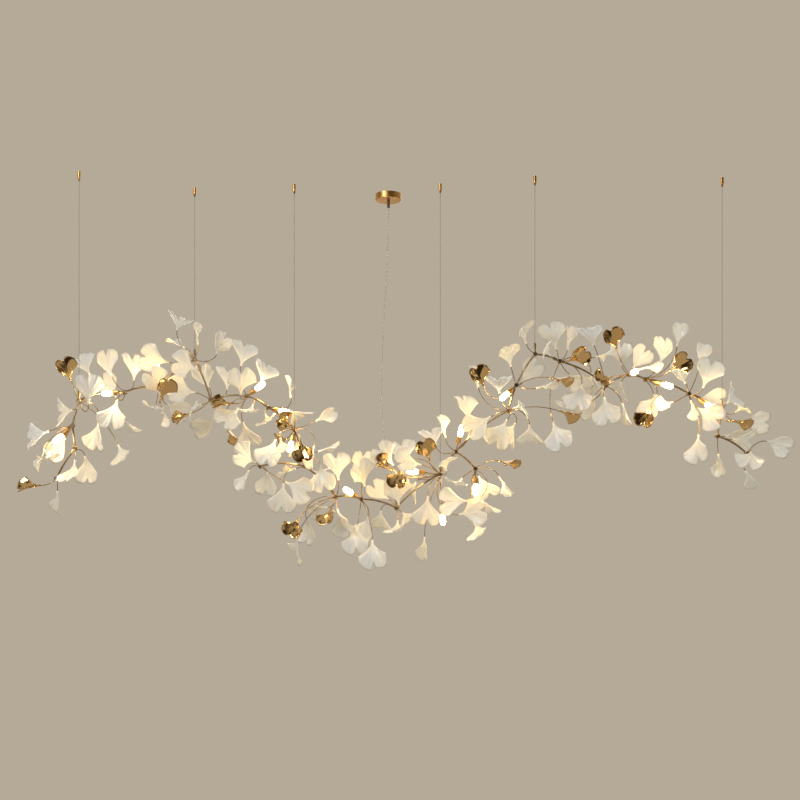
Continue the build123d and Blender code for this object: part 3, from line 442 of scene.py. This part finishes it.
def evaluated_mesh(piece: bpy.types.Object) -> bpy.types.Mesh:
    """Returns a piece's mesh with its modifiers applied."""
    graph = bpy.context.evaluated_depsgraph_get()
    graph.update()
    return bpy.data.meshes.new_from_object(piece.evaluated_get(graph), depsgraph=graph)


def set_input(modifier: bpy.types.NodesModifier, name: str, value: Any) -> None:
    """Sets a Geometry Nodes modifier's input by the name on its interface."""
    for item in modifier.node_group.interface.items_tree:
        if item.item_type == "SOCKET" and item.in_out == "INPUT" and item.name == name:
            modifier[item.identifier] = value


def solids_of(node: str) -> list[tuple[np.ndarray, np.ndarray]]:
    """Splits a CAD node into its solids.

    Args:
        node: CAD node name.

    Returns:
        For each solid its vertex places and its triangles.
    """
    mesh = frame["nodes"][node].data
    places = np.zeros(len(mesh.vertices) * 3)
    mesh.vertices.foreach_get("co", places)
    mesh.calc_loop_triangles()
    corners = np.zeros(len(mesh.loop_triangles) * 3, dtype=np.int64)
    mesh.loop_triangles.foreach_get("vertices", corners)
    places = places.reshape(-1, 3)
    merged, where = np.unique(np.round(places, 6), axis=0, return_inverse=True)
    triangles = where.reshape(-1)[corners].reshape(-1, 3)
    labels = np.arange(len(merged))
    while True:
        lowest = labels[triangles].min(axis=1)
        before = labels.copy()
        for corner in range(3):
            np.minimum.at(labels, triangles[:, corner], lowest)
        labels = labels[labels]
        if np.array_equal(before, labels):
            break
    found = []
    for label in np.unique(labels[triangles[:, 0]]):
        own = triangles[labels[triangles[:, 0]] == label]
        used, local = np.unique(own, return_inverse=True)
        found.append((merged[used], local.reshape(-1, 3)))
    return found


@dataclass(frozen=True)
class LeafFrame:
    """Where one leaf grows: its foot, its axes and its half width, read from its CAD solid."""

    foot: Vector
    turn: Quaternion
    half_width: float

    FOOT_RADIUS = 0.0044
    BORE_RADIUS = 0.0017
    RING_REACH = 2.03 * FOOT_RADIUS
    RING_DEPTH = 0.001
    DIRECTIONS = 300
    FIT_ROUNDS = 8

    @classmethod
    def read(cls, places: np.ndarray, triangles: np.ndarray) -> "LeafFrame":
        """Reads a leaf's frame.

        The foot is a flat ring of known size, the leaf grows along the ring's normal, its two halves
        mirror each other across, and its rim curls up out of its cupped face.

        Args:
            places: vertex places of the solid.
            triangles: its triangles.

        Returns:
            The frame.
        """
        a, b, c = (places[triangles[:, corner]] for corner in range(3))
        area = np.linalg.norm(np.cross(b - a, c - a), axis=1) / 2.0
        middles = (a + b + c) / 3.0
        foot, along = cls.foot_ring(places)
        flat = middles - foot
        flat = flat - np.outer(flat @ along, along)
        centred = flat - np.average(flat, axis=0, weights=area)
        axes = np.linalg.eigh((centred * area[:, None]).T @ centred)[1][:, 1:].T
        across = min(axes, key=lambda axis: abs(np.average(flat @ axis, weights=area))
                     + abs(np.cbrt(np.average((centred @ axis) ** 3, weights=area))))
        across = across - along * (across @ along)
        across /= np.linalg.norm(across)
        out = np.cross(across, along)
        curl = np.average((flat @ out - np.average(flat @ out, weights=area))
                          * (flat @ across) ** 2, weights=area)
        if curl < 0:
            across, out = -across, -out
        half_width = float(np.abs((places - foot) @ across).max())
        turn = Matrix((across, along, out)).transposed().to_quaternion()
        return cls(Vector(foot), turn, half_width)

    @classmethod
    def foot_ring(cls, places: np.ndarray) -> tuple[np.ndarray, np.ndarray]:
        """Finds the flat ring at a leaf's foot among the solid's outermost points.

        Args:
            places: vertex places of the solid.

        Returns:
            The ring's centre and the direction in which the leaf grows.
        """
        step = np.arange(cls.DIRECTIONS) + 0.5
        polar = np.arccos(1.0 - 2.0 * step / cls.DIRECTIONS)
        turn = math.pi * (1.0 + math.sqrt(5.0)) * step
        ways = np.column_stack([np.cos(turn) * np.sin(polar), np.sin(turn) * np.sin(polar), np.cos(polar)])
        found = []
        for corner in np.unique(np.argmax(places @ ways.T, axis=0)):
            ring = places[np.linalg.norm(places - places[corner], axis=1) < cls.RING_REACH]
            centre = ring.mean(axis=0)
            reach = np.linalg.norm(ring - centre, axis=1)
            misfit = np.minimum(np.abs(reach - cls.FOOT_RADIUS), np.abs(reach - cls.BORE_RADIUS)).mean()
            found.append((misfit, corner))
        corner = min(found)[1]
        near = places[np.linalg.norm(places - places[corner], axis=1) < cls.RING_REACH]
        centre = near.mean(axis=0)
        inward = places.mean(axis=0) - centre
        along = inward / np.linalg.norm(inward)
        for _ in range(cls.FIT_ROUNDS):
            height = (near - centre) @ along
            ring = near[height < height.min() + cls.RING_DEPTH]
            centre = ring.mean(axis=0)
            along = np.linalg.svd(ring - centre)[2][2]
            along = along if inward @ along > 0 else -along
        return centre, along


@dataclass(frozen=True)
class Mould:
    """One leaf mould, with the CAD leaf's outline and curve in metres.

    Args:
        length: foot to lobe tops.
        width: across the wings, along the curve.
        reach: half width of the CAD leaf, by which it is known.
        notch: depth of the notch.
        cup: radius across.
        bend: radius along, bent back; 0 for a dished leaf.
        ruffle: height of the waves along the rim.
        pleat: height of the folds along the veins.
    """

    length: float
    width: float
    reach: float
    notch: float
    cup: float
    bend: float
    ruffle: float
    pleat: float

    COLUMNS = 44
    ROWS = 24
    THICKNESS = 0.0026
    NECK = 0.0044
    NECK_TOP = 0.0017
    CURVE_START = 0.022
    WING_SHARE = 0.60
    NOTCH_SPREAD = 0.13
    SCALLOP = 0.0020
    SCALLOP_COUNTS = (5.0, 9.0, 14.0)
    NECK_SHARE = 0.33
    EASE_START = 0.012
    EASE_LENGTH = 0.03
    PLEATS = 11.0
    SIDE_ROUND = 0.09
    RIM_ROUND = 0.06
    TAPER_SHARE = 0.72

    def rim(self, u: np.ndarray, random: np.random.Generator) -> tuple[np.ndarray, np.ndarray]:
        """Rim line from one wing over the lobes and the notch to the other wing.

        Args:
            u: places across the leaf from -1 to 1.
            random: source of the small scallops.

        Returns:
            Across and along places of the rim.
        """
        half = self.width / 2.0
        side = np.abs(u)
        across = np.sign(u) * half * np.sin(np.pi / 2.0 * side ** 1.15)
        wing = self.WING_SHARE * self.length
        crown = self.length - self.notch * np.exp(-(side / self.NOTCH_SPREAD) ** 2)
        droop = (crown - wing) * side ** 3.2
        scallop = np.zeros_like(u)
        for count in self.SCALLOP_COUNTS:
            phase = random.uniform(0.0, 2.0 * np.pi)
            scallop += np.sin(count * u * np.pi / 2.0 + phase) * self.SCALLOP / count
        fade = 1.0 - side ** 4
        return across, crown - droop - np.abs(scallop) * 2.0 * fade

    def curved(self, x: np.ndarray, y: np.ndarray) -> tuple[np.ndarray, np.ndarray]:
        """Wraps the flat leaf round its curve.

        Args:
            x: flat places across.
            y: places along.

        Returns:
            Curved places across and their height over the leaf's plane.
        """
        from_bend = y - self.CURVE_START
        if self.bend == 0.0:
            return x, self.cup - np.sqrt(np.maximum(self.cup ** 2 - x ** 2 - from_bend ** 2, 1e-9))
        radius = self.cup + self.bend - np.sqrt(self.bend ** 2 - from_bend ** 2)
        return radius * np.sin(x / radius), self.cup - radius * np.cos(x / radius)

    def mesh(self, name: str, seed: int) -> bpy.types.Mesh:
        """Makes one ruffled leaf with its foot at the origin, growing along +Y.

        Args:
            name: mesh name.
            seed: fixes the leaf's own ruffles.

        Returns:
            The closed mesh, with its fan coordinates in the UV map "leaf".
        """
        random = np.random.default_rng(seed)
        u = np.linspace(-1.0, 1.0, self.COLUMNS + 1)
        v = np.linspace(0.0, 1.0, self.ROWS + 1) ** 0.85
        rim_x, rim_y = self.rim(u, random)
        uu, vv = np.meshgrid(u, v)
        neck = np.clip(1.0 - vv / self.NECK_SHARE, 0.0, 1.0)
        stalk = self.NECK * neck + self.NECK_TOP * (1.0 - neck)
        x = uu * stalk * (1.0 - vv) + rim_x[None, :] * vv ** 1.9
        y = rim_y[None, :] * vv
        ease = np.clip((y - self.EASE_START) / self.EASE_LENGTH, 0.0, 1.0) ** 2
        x, z = self.curved(x, y)
        z = z * ease
        waves = random.uniform(2.2, 3.6)
        phase = random.uniform(0.0, 2.0 * np.pi)
        ruffle = np.sin(waves * np.pi * uu + phase) + 0.45 * np.sin(2.3 * waves * np.pi * uu + 2.0 * phase)
        z = z + self.ruffle * ruffle * vv ** 3
        pleats = np.cos(self.PLEATS * np.pi * uu)
        z = z + self.pleat * pleats * np.clip((vv - 0.25) / 0.3, 0.0, 1.0)
        edge = np.minimum((1.0 - np.abs(uu)) / self.SIDE_ROUND, (1.0 - vv) / self.RIM_ROUND)
        rounded = np.sqrt(np.clip(1.0 - (1.0 - np.clip(edge, 0.0, 1.0)) ** 2, 0.0, 1.0))
        blade = self.THICKNESS / 2.0 * rounded
        taper = self.NECK * np.clip(1.0 - y / (self.TAPER_SHARE * self.length), 0.0, 1.0) ** 1.3
        stem = np.sqrt(np.clip(taper ** 2 - x ** 2, 0.0, None))
        half = np.maximum(blade, stem)
        half[:, 0] = 0.0
        half[:, -1] = 0.0
        half[-1, :] = 0.0
        front = np.stack([x, y, z + half], axis=-1)
        back = np.stack([x, y, z - half], axis=-1)
        return self.stitch(name, front, back, uu, vv)

    def stitch(self, name: str, front: np.ndarray, back: np.ndarray,
               uu: np.ndarray, vv: np.ndarray) -> bpy.types.Mesh:
        """Joins a leaf's two skins at the rim and the sides and caps its foot.

        Args:
            name: mesh name.
            front: grid of the front skin.
            back: grid of the back skin, the same at the rim and the sides.
            uu: fan coordinate across.
            vv: fan coordinate along.

        Returns:
            The closed mesh.
        """
        rows, columns = uu.shape
        number = np.arange(rows * columns).reshape(rows, columns)
        behind = number.copy()
        inside = np.zeros((rows, columns), dtype=bool)
        inside[:-1, 1:-1] = True
        behind[inside] = rows * columns + np.arange(inside.sum())
        places = np.concatenate([front.reshape(-1, 3), back[inside]])
        fan = np.stack([uu * 0.5 + 0.5, vv], axis=-1)
        fans = np.concatenate([fan.reshape(-1, 2), fan[inside]])
        faces = []
        for grid, flip in ((number, False), (behind, True)):
            corners = (grid[:-1, :-1], grid[:-1, 1:], grid[1:, 1:], grid[1:, :-1])
            quads = np.stack(corners, axis=-1).reshape(-1, 4).tolist()
            faces += [tuple(quad[::-1]) if flip else tuple(quad) for quad in quads]
        faces.append(tuple(behind[0, :].tolist()) + tuple(number[0, 1:-1][::-1].tolist()))
        mesh = bpy.data.meshes.new(name)
        mesh.from_pydata(places.tolist(), [], faces)
        layer = mesh.uv_layers.new(name="leaf")
        loops = np.zeros(len(mesh.loops), dtype=np.int64)
        mesh.loops.foreach_get("vertex_index", loops)
        layer.data.foreach_set("uv", fans[loops].reshape(-1))
        mesh.shade_smooth()
        mesh.update()
        return mesh


class LeafKind(Enum):
    """The leaf moulds in the order of their variants."""

    WIDE = Mould(0.115, 0.122, 0.0569, 0.026, 0.080, 0.175, 0.0040, 0.00018)
    MEDIUM = Mould(0.098, 0.092, 0.0461, 0.015, 0.085, 0.0, 0.0030, 0.00016)
    NARROW = Mould(0.095, 0.078, 0.0352, 0.008, 0.028, 0.240, 0.0016, 0.00010)
    GOLD = Mould(0.092, 0.099, 0.0408, 0.012, 0.042, 0.160, 0.0008, 0.0)

    @classmethod
    def of(cls, half_width: float, plated: bool) -> "LeafKind":
        """Finds the mould of a CAD leaf from its half width and its finish."""
        if plated:
            return cls.GOLD
        white = (cls.WIDE, cls.MEDIUM, cls.NARROW)
        return min(white, key=lambda kind: abs(kind.value.reach - half_width))


class Foliage:
    """Ceramic leaves: a few ruffled variants of each mould, set where the CAD leaves are."""

    VARIANTS = 4
    SEED = 7

    def __init__(self, finishes: Finishes) -> None:
        """Keeps the finishes and makes the scatter tree."""
        self.finishes = finishes
        self.kinds = list(LeafKind)
        self.stock = bpy.data.collections.new("leaf_stock")
        self.tree = self.scatter_tree()

    def build(self) -> None:
        """Makes the leaves of every CAD leaf node."""
        for kind_number, kind in enumerate(self.kinds):
            for variant in range(self.VARIANTS):
                name = f"leaf_{kind_number}_{variant}"
                mesh = kind.value.mesh(name, self.SEED + 10 * kind_number + variant)
                self.stock.objects.link(bpy.data.objects.new(name, mesh))
        random = np.random.default_rng(self.SEED)
        for node in sorted(frame["nodes"]):
            if node.startswith(("white_leaves", "gold_leaves")):
                self.grow(node, random)
        for item in list(self.stock.objects):
            bpy.data.objects.remove(item)
        bpy.data.collections.remove(self.stock)

    def grow(self, node: str, random: np.random.Generator) -> None:
        """Sets one node's leaves on points that carry their turn, variant and tone.

        Args:
            node: CAD node of the leaves.
            random: source of variants and tones.
        """
        plated = node.startswith("gold")
        frames = [LeafFrame.read(*solid) for solid in solids_of(node)]
        points = bpy.data.meshes.new(node + "_points")
        points.from_pydata([leaf.foot for leaf in frames], [], [])
        columns = {"turn": "QUATERNION", "variant": "INT", "leaf_tone": "FLOAT"}
        for title, kind in columns.items():
            points.attributes.new(title, kind, "POINT")
        turn, variant, tone = (points.attributes[title].data for title in columns)
        for number, leaf in enumerate(frames):
            kind = self.kinds.index(LeafKind.of(leaf.half_width, plated))
            turn[number].value = leaf.turn
            variant[number].value = kind * self.VARIANTS + int(random.integers(self.VARIANTS))
            tone[number].value = float(random.uniform(0.0, 1.0))
        slot = "gold_plate" if plated else "white_glaze"
        name = node.replace("white", "glazed").replace("gold", "plated")
        piece = new_piece(name, points, BRANCH, slot, node)
        modifier = piece.modifiers.new("scatter", "NODES")
        modifier.node_group = self.tree
        set_input(modifier, "Leaves", self.stock)
        set_input(modifier, "Finish", self.finishes[slot])
        mesh = evaluated_mesh(piece)
        piece.modifiers.clear()
        piece.data = mesh
        LOG.info("%s: %d leaves, %d faces", name, len(frames), len(mesh.polygons))

    def scatter_tree(self) -> bpy.types.NodeTree:
        """Geometry Nodes tree that puts one leaf on each point.

        Returns:
            The tree, with the inputs Leaves and Finish.
        """
        graph, source, result = group_tree("leaf_scatter", "GeometryNodeTree", [
            ("Geometry", "INPUT", "NodeSocketGeometry", None),
            ("Leaves", "INPUT", "NodeSocketCollection", None),
            ("Finish", "INPUT", "NodeSocketMaterial", None),
            ("Geometry", "OUTPUT", "NodeSocketGeometry", None),
        ])
        stock = graph.node("GeometryNodeCollectionInfo", {
            "Collection": source.outputs["Leaves"], "Separate Children": True, "Reset Children": True})
        turn = graph.node("GeometryNodeInputNamedAttribute", {"Name": "turn"}, data_type="QUATERNION")
        variant = graph.node("GeometryNodeInputNamedAttribute", {"Name": "variant"}, data_type="INT")
        tone = graph.node("GeometryNodeInputNamedAttribute", {"Name": "leaf_tone"}, data_type="FLOAT")
        spread = graph.node("GeometryNodeInstanceOnPoints", {
            "Points": source.outputs["Geometry"], "Instance": stock.outputs[0], "Pick Instance": True,
            "Instance Index": variant.outputs["Attribute"], "Rotation": turn.outputs["Attribute"]})
        toned = graph.node("GeometryNodeStoreNamedAttribute", {
            "Geometry": spread.outputs[0], "Name": "tone", "Value": tone.outputs["Attribute"]},
            data_type="FLOAT", domain="INSTANCE")
        real = graph.node("GeometryNodeRealizeInstances", {"Geometry": toned.outputs[0]})
        painted = graph.node("GeometryNodeSetMaterial", {
            "Geometry": real.outputs[0], "Material": source.outputs["Finish"]})
        graph.tree.links.new(painted.outputs[0], result.inputs[0])
        return graph.tree


class Tubes:
    """Runs smooth or stranded tubes along lines."""

    RING = 21
    LAY_TURN = 420.0
    STRAND_DIP = 0.06

    def __init__(self, finishes: Finishes) -> None:
        """Keeps the finishes and makes the tube tree."""
        self.finishes = finishes
        self.tree = self.tube_tree()

    def make(self, name: str, route: list[Place], diameter: float, slot: str, strands: int = 0,
             step: float = 0.004) -> tuple[bpy.types.Mesh, list[Place]]:
        """Makes one tube along a smooth line through its route.

        Args:
            name: name of the line.
            route: control points.
            diameter: outside diameter.
            slot: record slot of its finish.
            strands: number of twisted strands that show, 0 for a smooth tube.
            step: length of the tube's segments.

        Returns:
            The tube's mesh and the points of its middle line.
        """
        curve = bpy.data.curves.new(name + "_line", "CURVE")
        curve.dimensions = "3D"
        curve.resolution_u = 12
        spline = curve.splines.new("NURBS")
        spline.points.add(len(route) - 1)
        for point, place in zip(spline.points, route):
            point.co = (*place, 1.0)
        spline.order_u = min(3, len(route))
        spline.use_endpoint_u = True
        line = bpy.data.objects.new(name + "_line", curve)
        bpy.context.scene.collection.objects.link(line)
        path = [tuple(vertex.co) for vertex in evaluated_mesh(line).vertices]
        modifier = line.modifiers.new("tube", "NODES")
        modifier.node_group = self.tree
        set_input(modifier, "Radius", diameter / 2.0)
        set_input(modifier, "Strands", strands)
        set_input(modifier, "Step", step)
        set_input(modifier, "Finish", self.finishes[slot])
        mesh = evaluated_mesh(line)
        bpy.data.objects.remove(line)
        return mesh, path

    def tube_tree(self) -> bpy.types.NodeTree:
        """Geometry Nodes tree that runs a smooth or stranded tube along a curve.

        Returns:
            The tree, with the inputs Radius, Strands, Step and Finish.
        """
        graph, source, result = group_tree("cord_tube", "GeometryNodeTree", [
            ("Geometry", "INPUT", "NodeSocketGeometry", None),
            ("Radius", "INPUT", "NodeSocketFloat", 0.003),
            ("Strands", "INPUT", "NodeSocketInt", 0),
            ("Step", "INPUT", "NodeSocketFloat", 0.004),
            ("Finish", "INPUT", "NodeSocketMaterial", None),
            ("Geometry", "OUTPUT", "NodeSocketGeometry", None),
        ])
        even = graph.node("GeometryNodeResampleCurve", {
            "Curve": source.outputs["Geometry"], "Length": source.outputs["Step"]}, mode="LENGTH")
        along = graph.node("GeometryNodeSplineParameter").outputs["Length"]
        stranded = graph.math("MINIMUM", source.outputs["Strands"], 1.0)
        twist = graph.math("MULTIPLY", graph.math("MULTIPLY", along, self.LAY_TURN), stranded)
        tilted = graph.node("GeometryNodeSetCurveTilt", {"Curve": even.outputs[0], "Tilt": twist})
        ring = graph.node("GeometryNodeCurvePrimitiveCircle", {
            "Resolution": self.RING, "Radius": source.outputs["Radius"]})
        spot = graph.node("GeometryNodeInputPosition").outputs[0]
        step = graph.node("GeometryNodeInputIndex").outputs[0]
        turn = graph.math("MULTIPLY", step, 2.0 * math.pi / self.RING)
        lobes = graph.math("COSINE", graph.math("MULTIPLY", turn, source.outputs["Strands"]))
        depth = graph.math("MULTIPLY", stranded, self.STRAND_DIP)
        dip = graph.math("MULTIPLY", graph.math("SUBTRACT", lobes, 1.0), depth)
        scale = graph.math("ADD", dip, 1.0)
        moved = graph.node("ShaderNodeVectorMath", {0: spot, "Scale": scale}, operation="SCALE")
        profile = graph.node("GeometryNodeSetPosition", {
            "Geometry": ring.outputs[0], "Position": moved.outputs[0]})
        tube = graph.node("GeometryNodeCurveToMesh", {
            "Curve": tilted.outputs[0], "Profile Curve": profile.outputs[0], "Fill Caps": True})
        smooth = graph.node("GeometryNodeSetShadeSmooth", {"Geometry": tube.outputs[0]})
        real = graph.node("GeometryNodeRealizeInstances", {"Geometry": smooth.outputs[0]})
        painted = graph.node("GeometryNodeSetMaterial", {
            "Geometry": real.outputs[0], "Material": source.outputs["Finish"]})
        graph.tree.links.new(painted.outputs[0], result.inputs[0])
        return graph.tree


class Hanging:
    """Suspension wires and the power cord."""

    WIRE_DIAMETER = 0.0015
    CORD_DIAMETER = 0.006
    STRANDS = 7

    def __init__(self, tubes: Tubes) -> None:
        """Keeps the tube maker."""
        self.tubes = tubes

    def build(self) -> None:
        """Makes the six wires and the cord."""
        for number in range(1, 7):
            node = f"suspension_wire_{number}"
            low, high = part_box(node)
            middle = (low + high) / 2.0
            ends = [(middle.x, middle.y, high.z), (middle.x, middle.y, low.z)]
            self.lay(f"steel_wire_{number}", node, ends, self.WIRE_DIAMETER, self.STRANDS,
                     "wire_steel")
        self.lay("clear_cord", "power_cord", CORD_ROUTE, self.CORD_DIAMETER, 0, "clear_cord")

    def lay(self, name: str, node: str, route: list[Place], diameter: float, strands: int,
            slot: str) -> None:
        """Lays one cord along a smooth line through its route.

        Args:
            name: piece name.
            node: CAD node that it stands for.
            route: control points from the ceiling down.
            diameter: outside diameter.
            strands: number of twisted strands that show, 0 for a smooth sheath.
            slot: record slot of its finish.
        """
        mesh, path = self.tubes.make(name, route, diameter, slot, strands)
        piece = new_piece(name, mesh, CEILING, slot, node)
        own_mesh(piece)


class Springs:
    """Release springs in the wire grippers, wound as coils."""

    NODE = "gripper_springs"
    WIRE_DIAMETER = 0.0007
    TURNS = 4
    POINTS_PER_TURN = 12
    SEGMENT = 0.0006
    TRAVEL = 0.0025

    def __init__(self, tubes: Tubes) -> None:
        """Keeps the tube maker."""
        self.tubes = tubes

    def build(self) -> None:
        """Winds one coil in the place of each CAD spring."""
        nozzles = {number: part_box(f"release_nozzle_{number}")[0].x for number in range(1, 7)}
        for places, _ in solids_of(self.NODE):
            low, high = places.min(axis=0), places.max(axis=0)
            number = min(nozzles, key=lambda nozzle: abs(nozzles[nozzle] - low[0]))
            self.wind(number, Vector(low), Vector(high))

    def wind(self, number: int, low: Vector, high: Vector) -> None:
        """Winds one spring.

        Args:
            number: number of its gripper.
            low: lowest corner of the CAD spring's box.
            high: highest corner.
        """
        middle = (low + high) / 2.0
        radius = (high.x - low.x - self.WIRE_DIAMETER) / 2.0
        rise = high.z - low.z - self.WIRE_DIAMETER
        count = self.TURNS * self.POINTS_PER_TURN
        route = []
        for step in range(count + 1):
            turn = 2.0 * math.pi * step / self.POINTS_PER_TURN
            level = low.z + self.WIRE_DIAMETER / 2.0 + rise * step / count
            route.append((middle.x + radius * math.cos(turn), middle.y + radius * math.sin(turn), level))
        name = f"release_spring_{number}"
        mesh, _ = self.tubes.make(name, route, self.WIRE_DIAMETER, "zinc_steel", step=self.SEGMENT)
        piece = new_piece(name, mesh, CEILING, "zinc_steel", self.NODE)
        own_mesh(piece)


@dataclass(frozen=True)
class Panel:
    """One soft square light.

    Args:
        name: light name.
        place: where it stands.
        target: point that it faces.
        size: length of its side.
        power: watts.
        colour: light colour.
        glossy: whether metal shows it.
    """

    name: str
    place: Place
    target: Place
    size: float
    power: float
    colour: tuple[float, float, float]
    glossy: bool

    def build(self) -> None:
        """Adds the light."""
        data = bpy.data.lights.new(self.name, "AREA")
        data.size = self.size
        data.energy = self.power
        data.color = self.colour
        light = bpy.data.objects.new(self.name, data)
        light.location = self.place
        light.visible_glossy = self.glossy
        light.visible_transmission = False
        light.rotation_euler = (Vector(self.target) - Vector(self.place)).to_track_quat("-Z", "Y").to_euler()
        bpy.context.scene.collection.objects.link(light)


class Studio:
    """Camera, soft lights, pale floor and plain backdrop colour."""

    BACKDROP = (0.462, 0.402, 0.314)
    ROOM = (0.030, 0.022, 0.016)
    FLOOR_LEVEL = -2.8
    FLOOR_REACH = 14.0
    PANELS = (
        Panel("key", (-2.4, -3.2, 0.6), (0.0, -0.2, -0.9), 1.6, 58.0, (1.0, 0.98, 0.96), True),
        Panel("fill", (3.0, -3.0, -0.4), (0.2, -0.2, -0.9), 2.4, 36.0, (0.97, 0.98, 1.0), False),
        Panel("rim", (0.4, 2.6, 0.7), (0.0, -0.2, -0.9), 2.6, 24.0, (1.0, 0.96, 0.90), True),
    )

    def build(self) -> None:
        """Sets up everything around the part."""
        scene = bpy.context.scene
        scene.view_settings.view_transform = "Standard"
        self.camera(scene)
        self.world(scene)
        self.floor(scene)
        for panel in self.PANELS:
            panel.build()

    def camera(self, scene: bpy.types.Scene) -> None:
        """Adds the camera at eye level, level and shifted up as in the picture."""
        data = bpy.data.cameras.new("camera")
        data.sensor_width = 36.0
        data.lens = 49.5
        data.shift_y = 0.15
        camera = bpy.data.objects.new("camera", data)
        camera.location = (0.04669, -4.466, -1.32194)
        camera.rotation_euler = (math.pi / 2.0, 0.0, 0.0)
        scene.collection.objects.link(camera)
        scene.camera = camera

    def world(self, scene: bpy.types.Scene) -> None:
        """Shows the backdrop to the eye and to gloss, which also sees a dim room, and lights the rest."""
        world = bpy.data.worlds.new("studio")
        scene.world = world
        world.use_nodes = True
        graph = Graph(world.node_tree)
        world.node_tree.nodes.clear()
        seen = self.seen(graph)
        heading = graph.node("ShaderNodeTexCoord").outputs["Generated"]
        way = graph.node("ShaderNodeSeparateXYZ", {0: heading})
        ahead = graph.remap(way.outputs[1], -0.75, -0.10, 1.0, 0.0)
        level = graph.remap(graph.math("ABSOLUTE", way.outputs[2]), 0.35, 0.80, 1.0, 0.0)
        ray = graph.node("ShaderNodeLightPath")
        gloss = graph.math("SUBTRACT", ray.outputs["Is Glossy Ray"], ray.outputs["Is Transmission Ray"])
        things = graph.node("ShaderNodeTexNoise", {"Vector": heading, "Scale": 2.6, "Detail": 1.0}).outputs[0]
        patches = graph.remap(things, 0.50, 0.58, 0.0, 0.9)
        dark = graph.math("MAXIMUM", graph.math("MULTIPLY", ahead, level), patches)
        dim = graph.math("MULTIPLY", dark, gloss)
        wall = graph.mix(dim, (*self.BACKDROP, 1.0), (*self.ROOM, 1.0))
        shown = graph.node("ShaderNodeBackground", {"Color": wall, "Strength": 1.0})
        light = graph.node("ShaderNodeBackground", {"Color": (1.0, 0.97, 0.93, 1.0), "Strength": 0.34})
        both = graph.node("ShaderNodeMixShader", {0: seen, 1: light.outputs[0], 2: shown.outputs[0]})
        graph.node("ShaderNodeOutputWorld", {"Surface": both.outputs[0]})

    def seen(self, graph: Graph) -> bpy.types.NodeSocket:
        """Mask of the rays that see the backdrop: the eye's, and those off gloss and through glass."""
        ray = graph.node("ShaderNodeLightPath")
        gloss = graph.math("MAXIMUM", ray.outputs["Is Glossy Ray"], ray.outputs["Is Transmission Ray"])
        return graph.math("MAXIMUM", ray.outputs["Is Camera Ray"], gloss)

    def floor(self, scene: bpy.types.Scene) -> None:
        """Adds the pale floor, which bounces light and which the eye sees as plain backdrop."""
        mesh = bpy.data.meshes.new("floor")
        reach = self.FLOOR_REACH
        level = self.FLOOR_LEVEL
        mesh.from_pydata([(-reach, -reach, level), (reach, -reach, level), (reach, reach, level),
                          (-reach, reach, level)], [], [(0, 1, 2, 3)])
        floor = bpy.data.objects.new("floor", mesh)
        scene.collection.objects.link(floor)
        material = bpy.data.materials.new("pale_floor")
        material.use_nodes = True
        graph = Graph(material.node_tree)
        material.node_tree.nodes.clear()
        matt = graph.node("ShaderNodeBsdfDiffuse", {"Color": (0.74, 0.70, 0.63, 1.0)})
        shown = graph.node("ShaderNodeEmission", {"Color": (*self.BACKDROP, 1.0), "Strength": 1.0})
        both = graph.node("ShaderNodeMixShader", {
            0: self.seen(graph), 1: matt.outputs[0], 2: shown.outputs[0]})
        graph.node("ShaderNodeOutputMaterial", {"Surface": both.outputs[0]})
        mesh.materials.append(material)


def main() -> None:
    """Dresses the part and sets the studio."""
    logging.basicConfig(level=logging.INFO, format="%(message)s")
    for name in ("Cube", "Light", "Camera"):
        if name in bpy.data.objects:
            bpy.data.objects.remove(bpy.data.objects[name])
    finishes = Finishes()
    finishes.dress_nodes()
    Foliage(finishes).build()
    tubes = Tubes(finishes)
    Hanging(tubes).build()
    Springs(tubes).build()
    Studio().build()


if __name__ == "__main__":
    main()
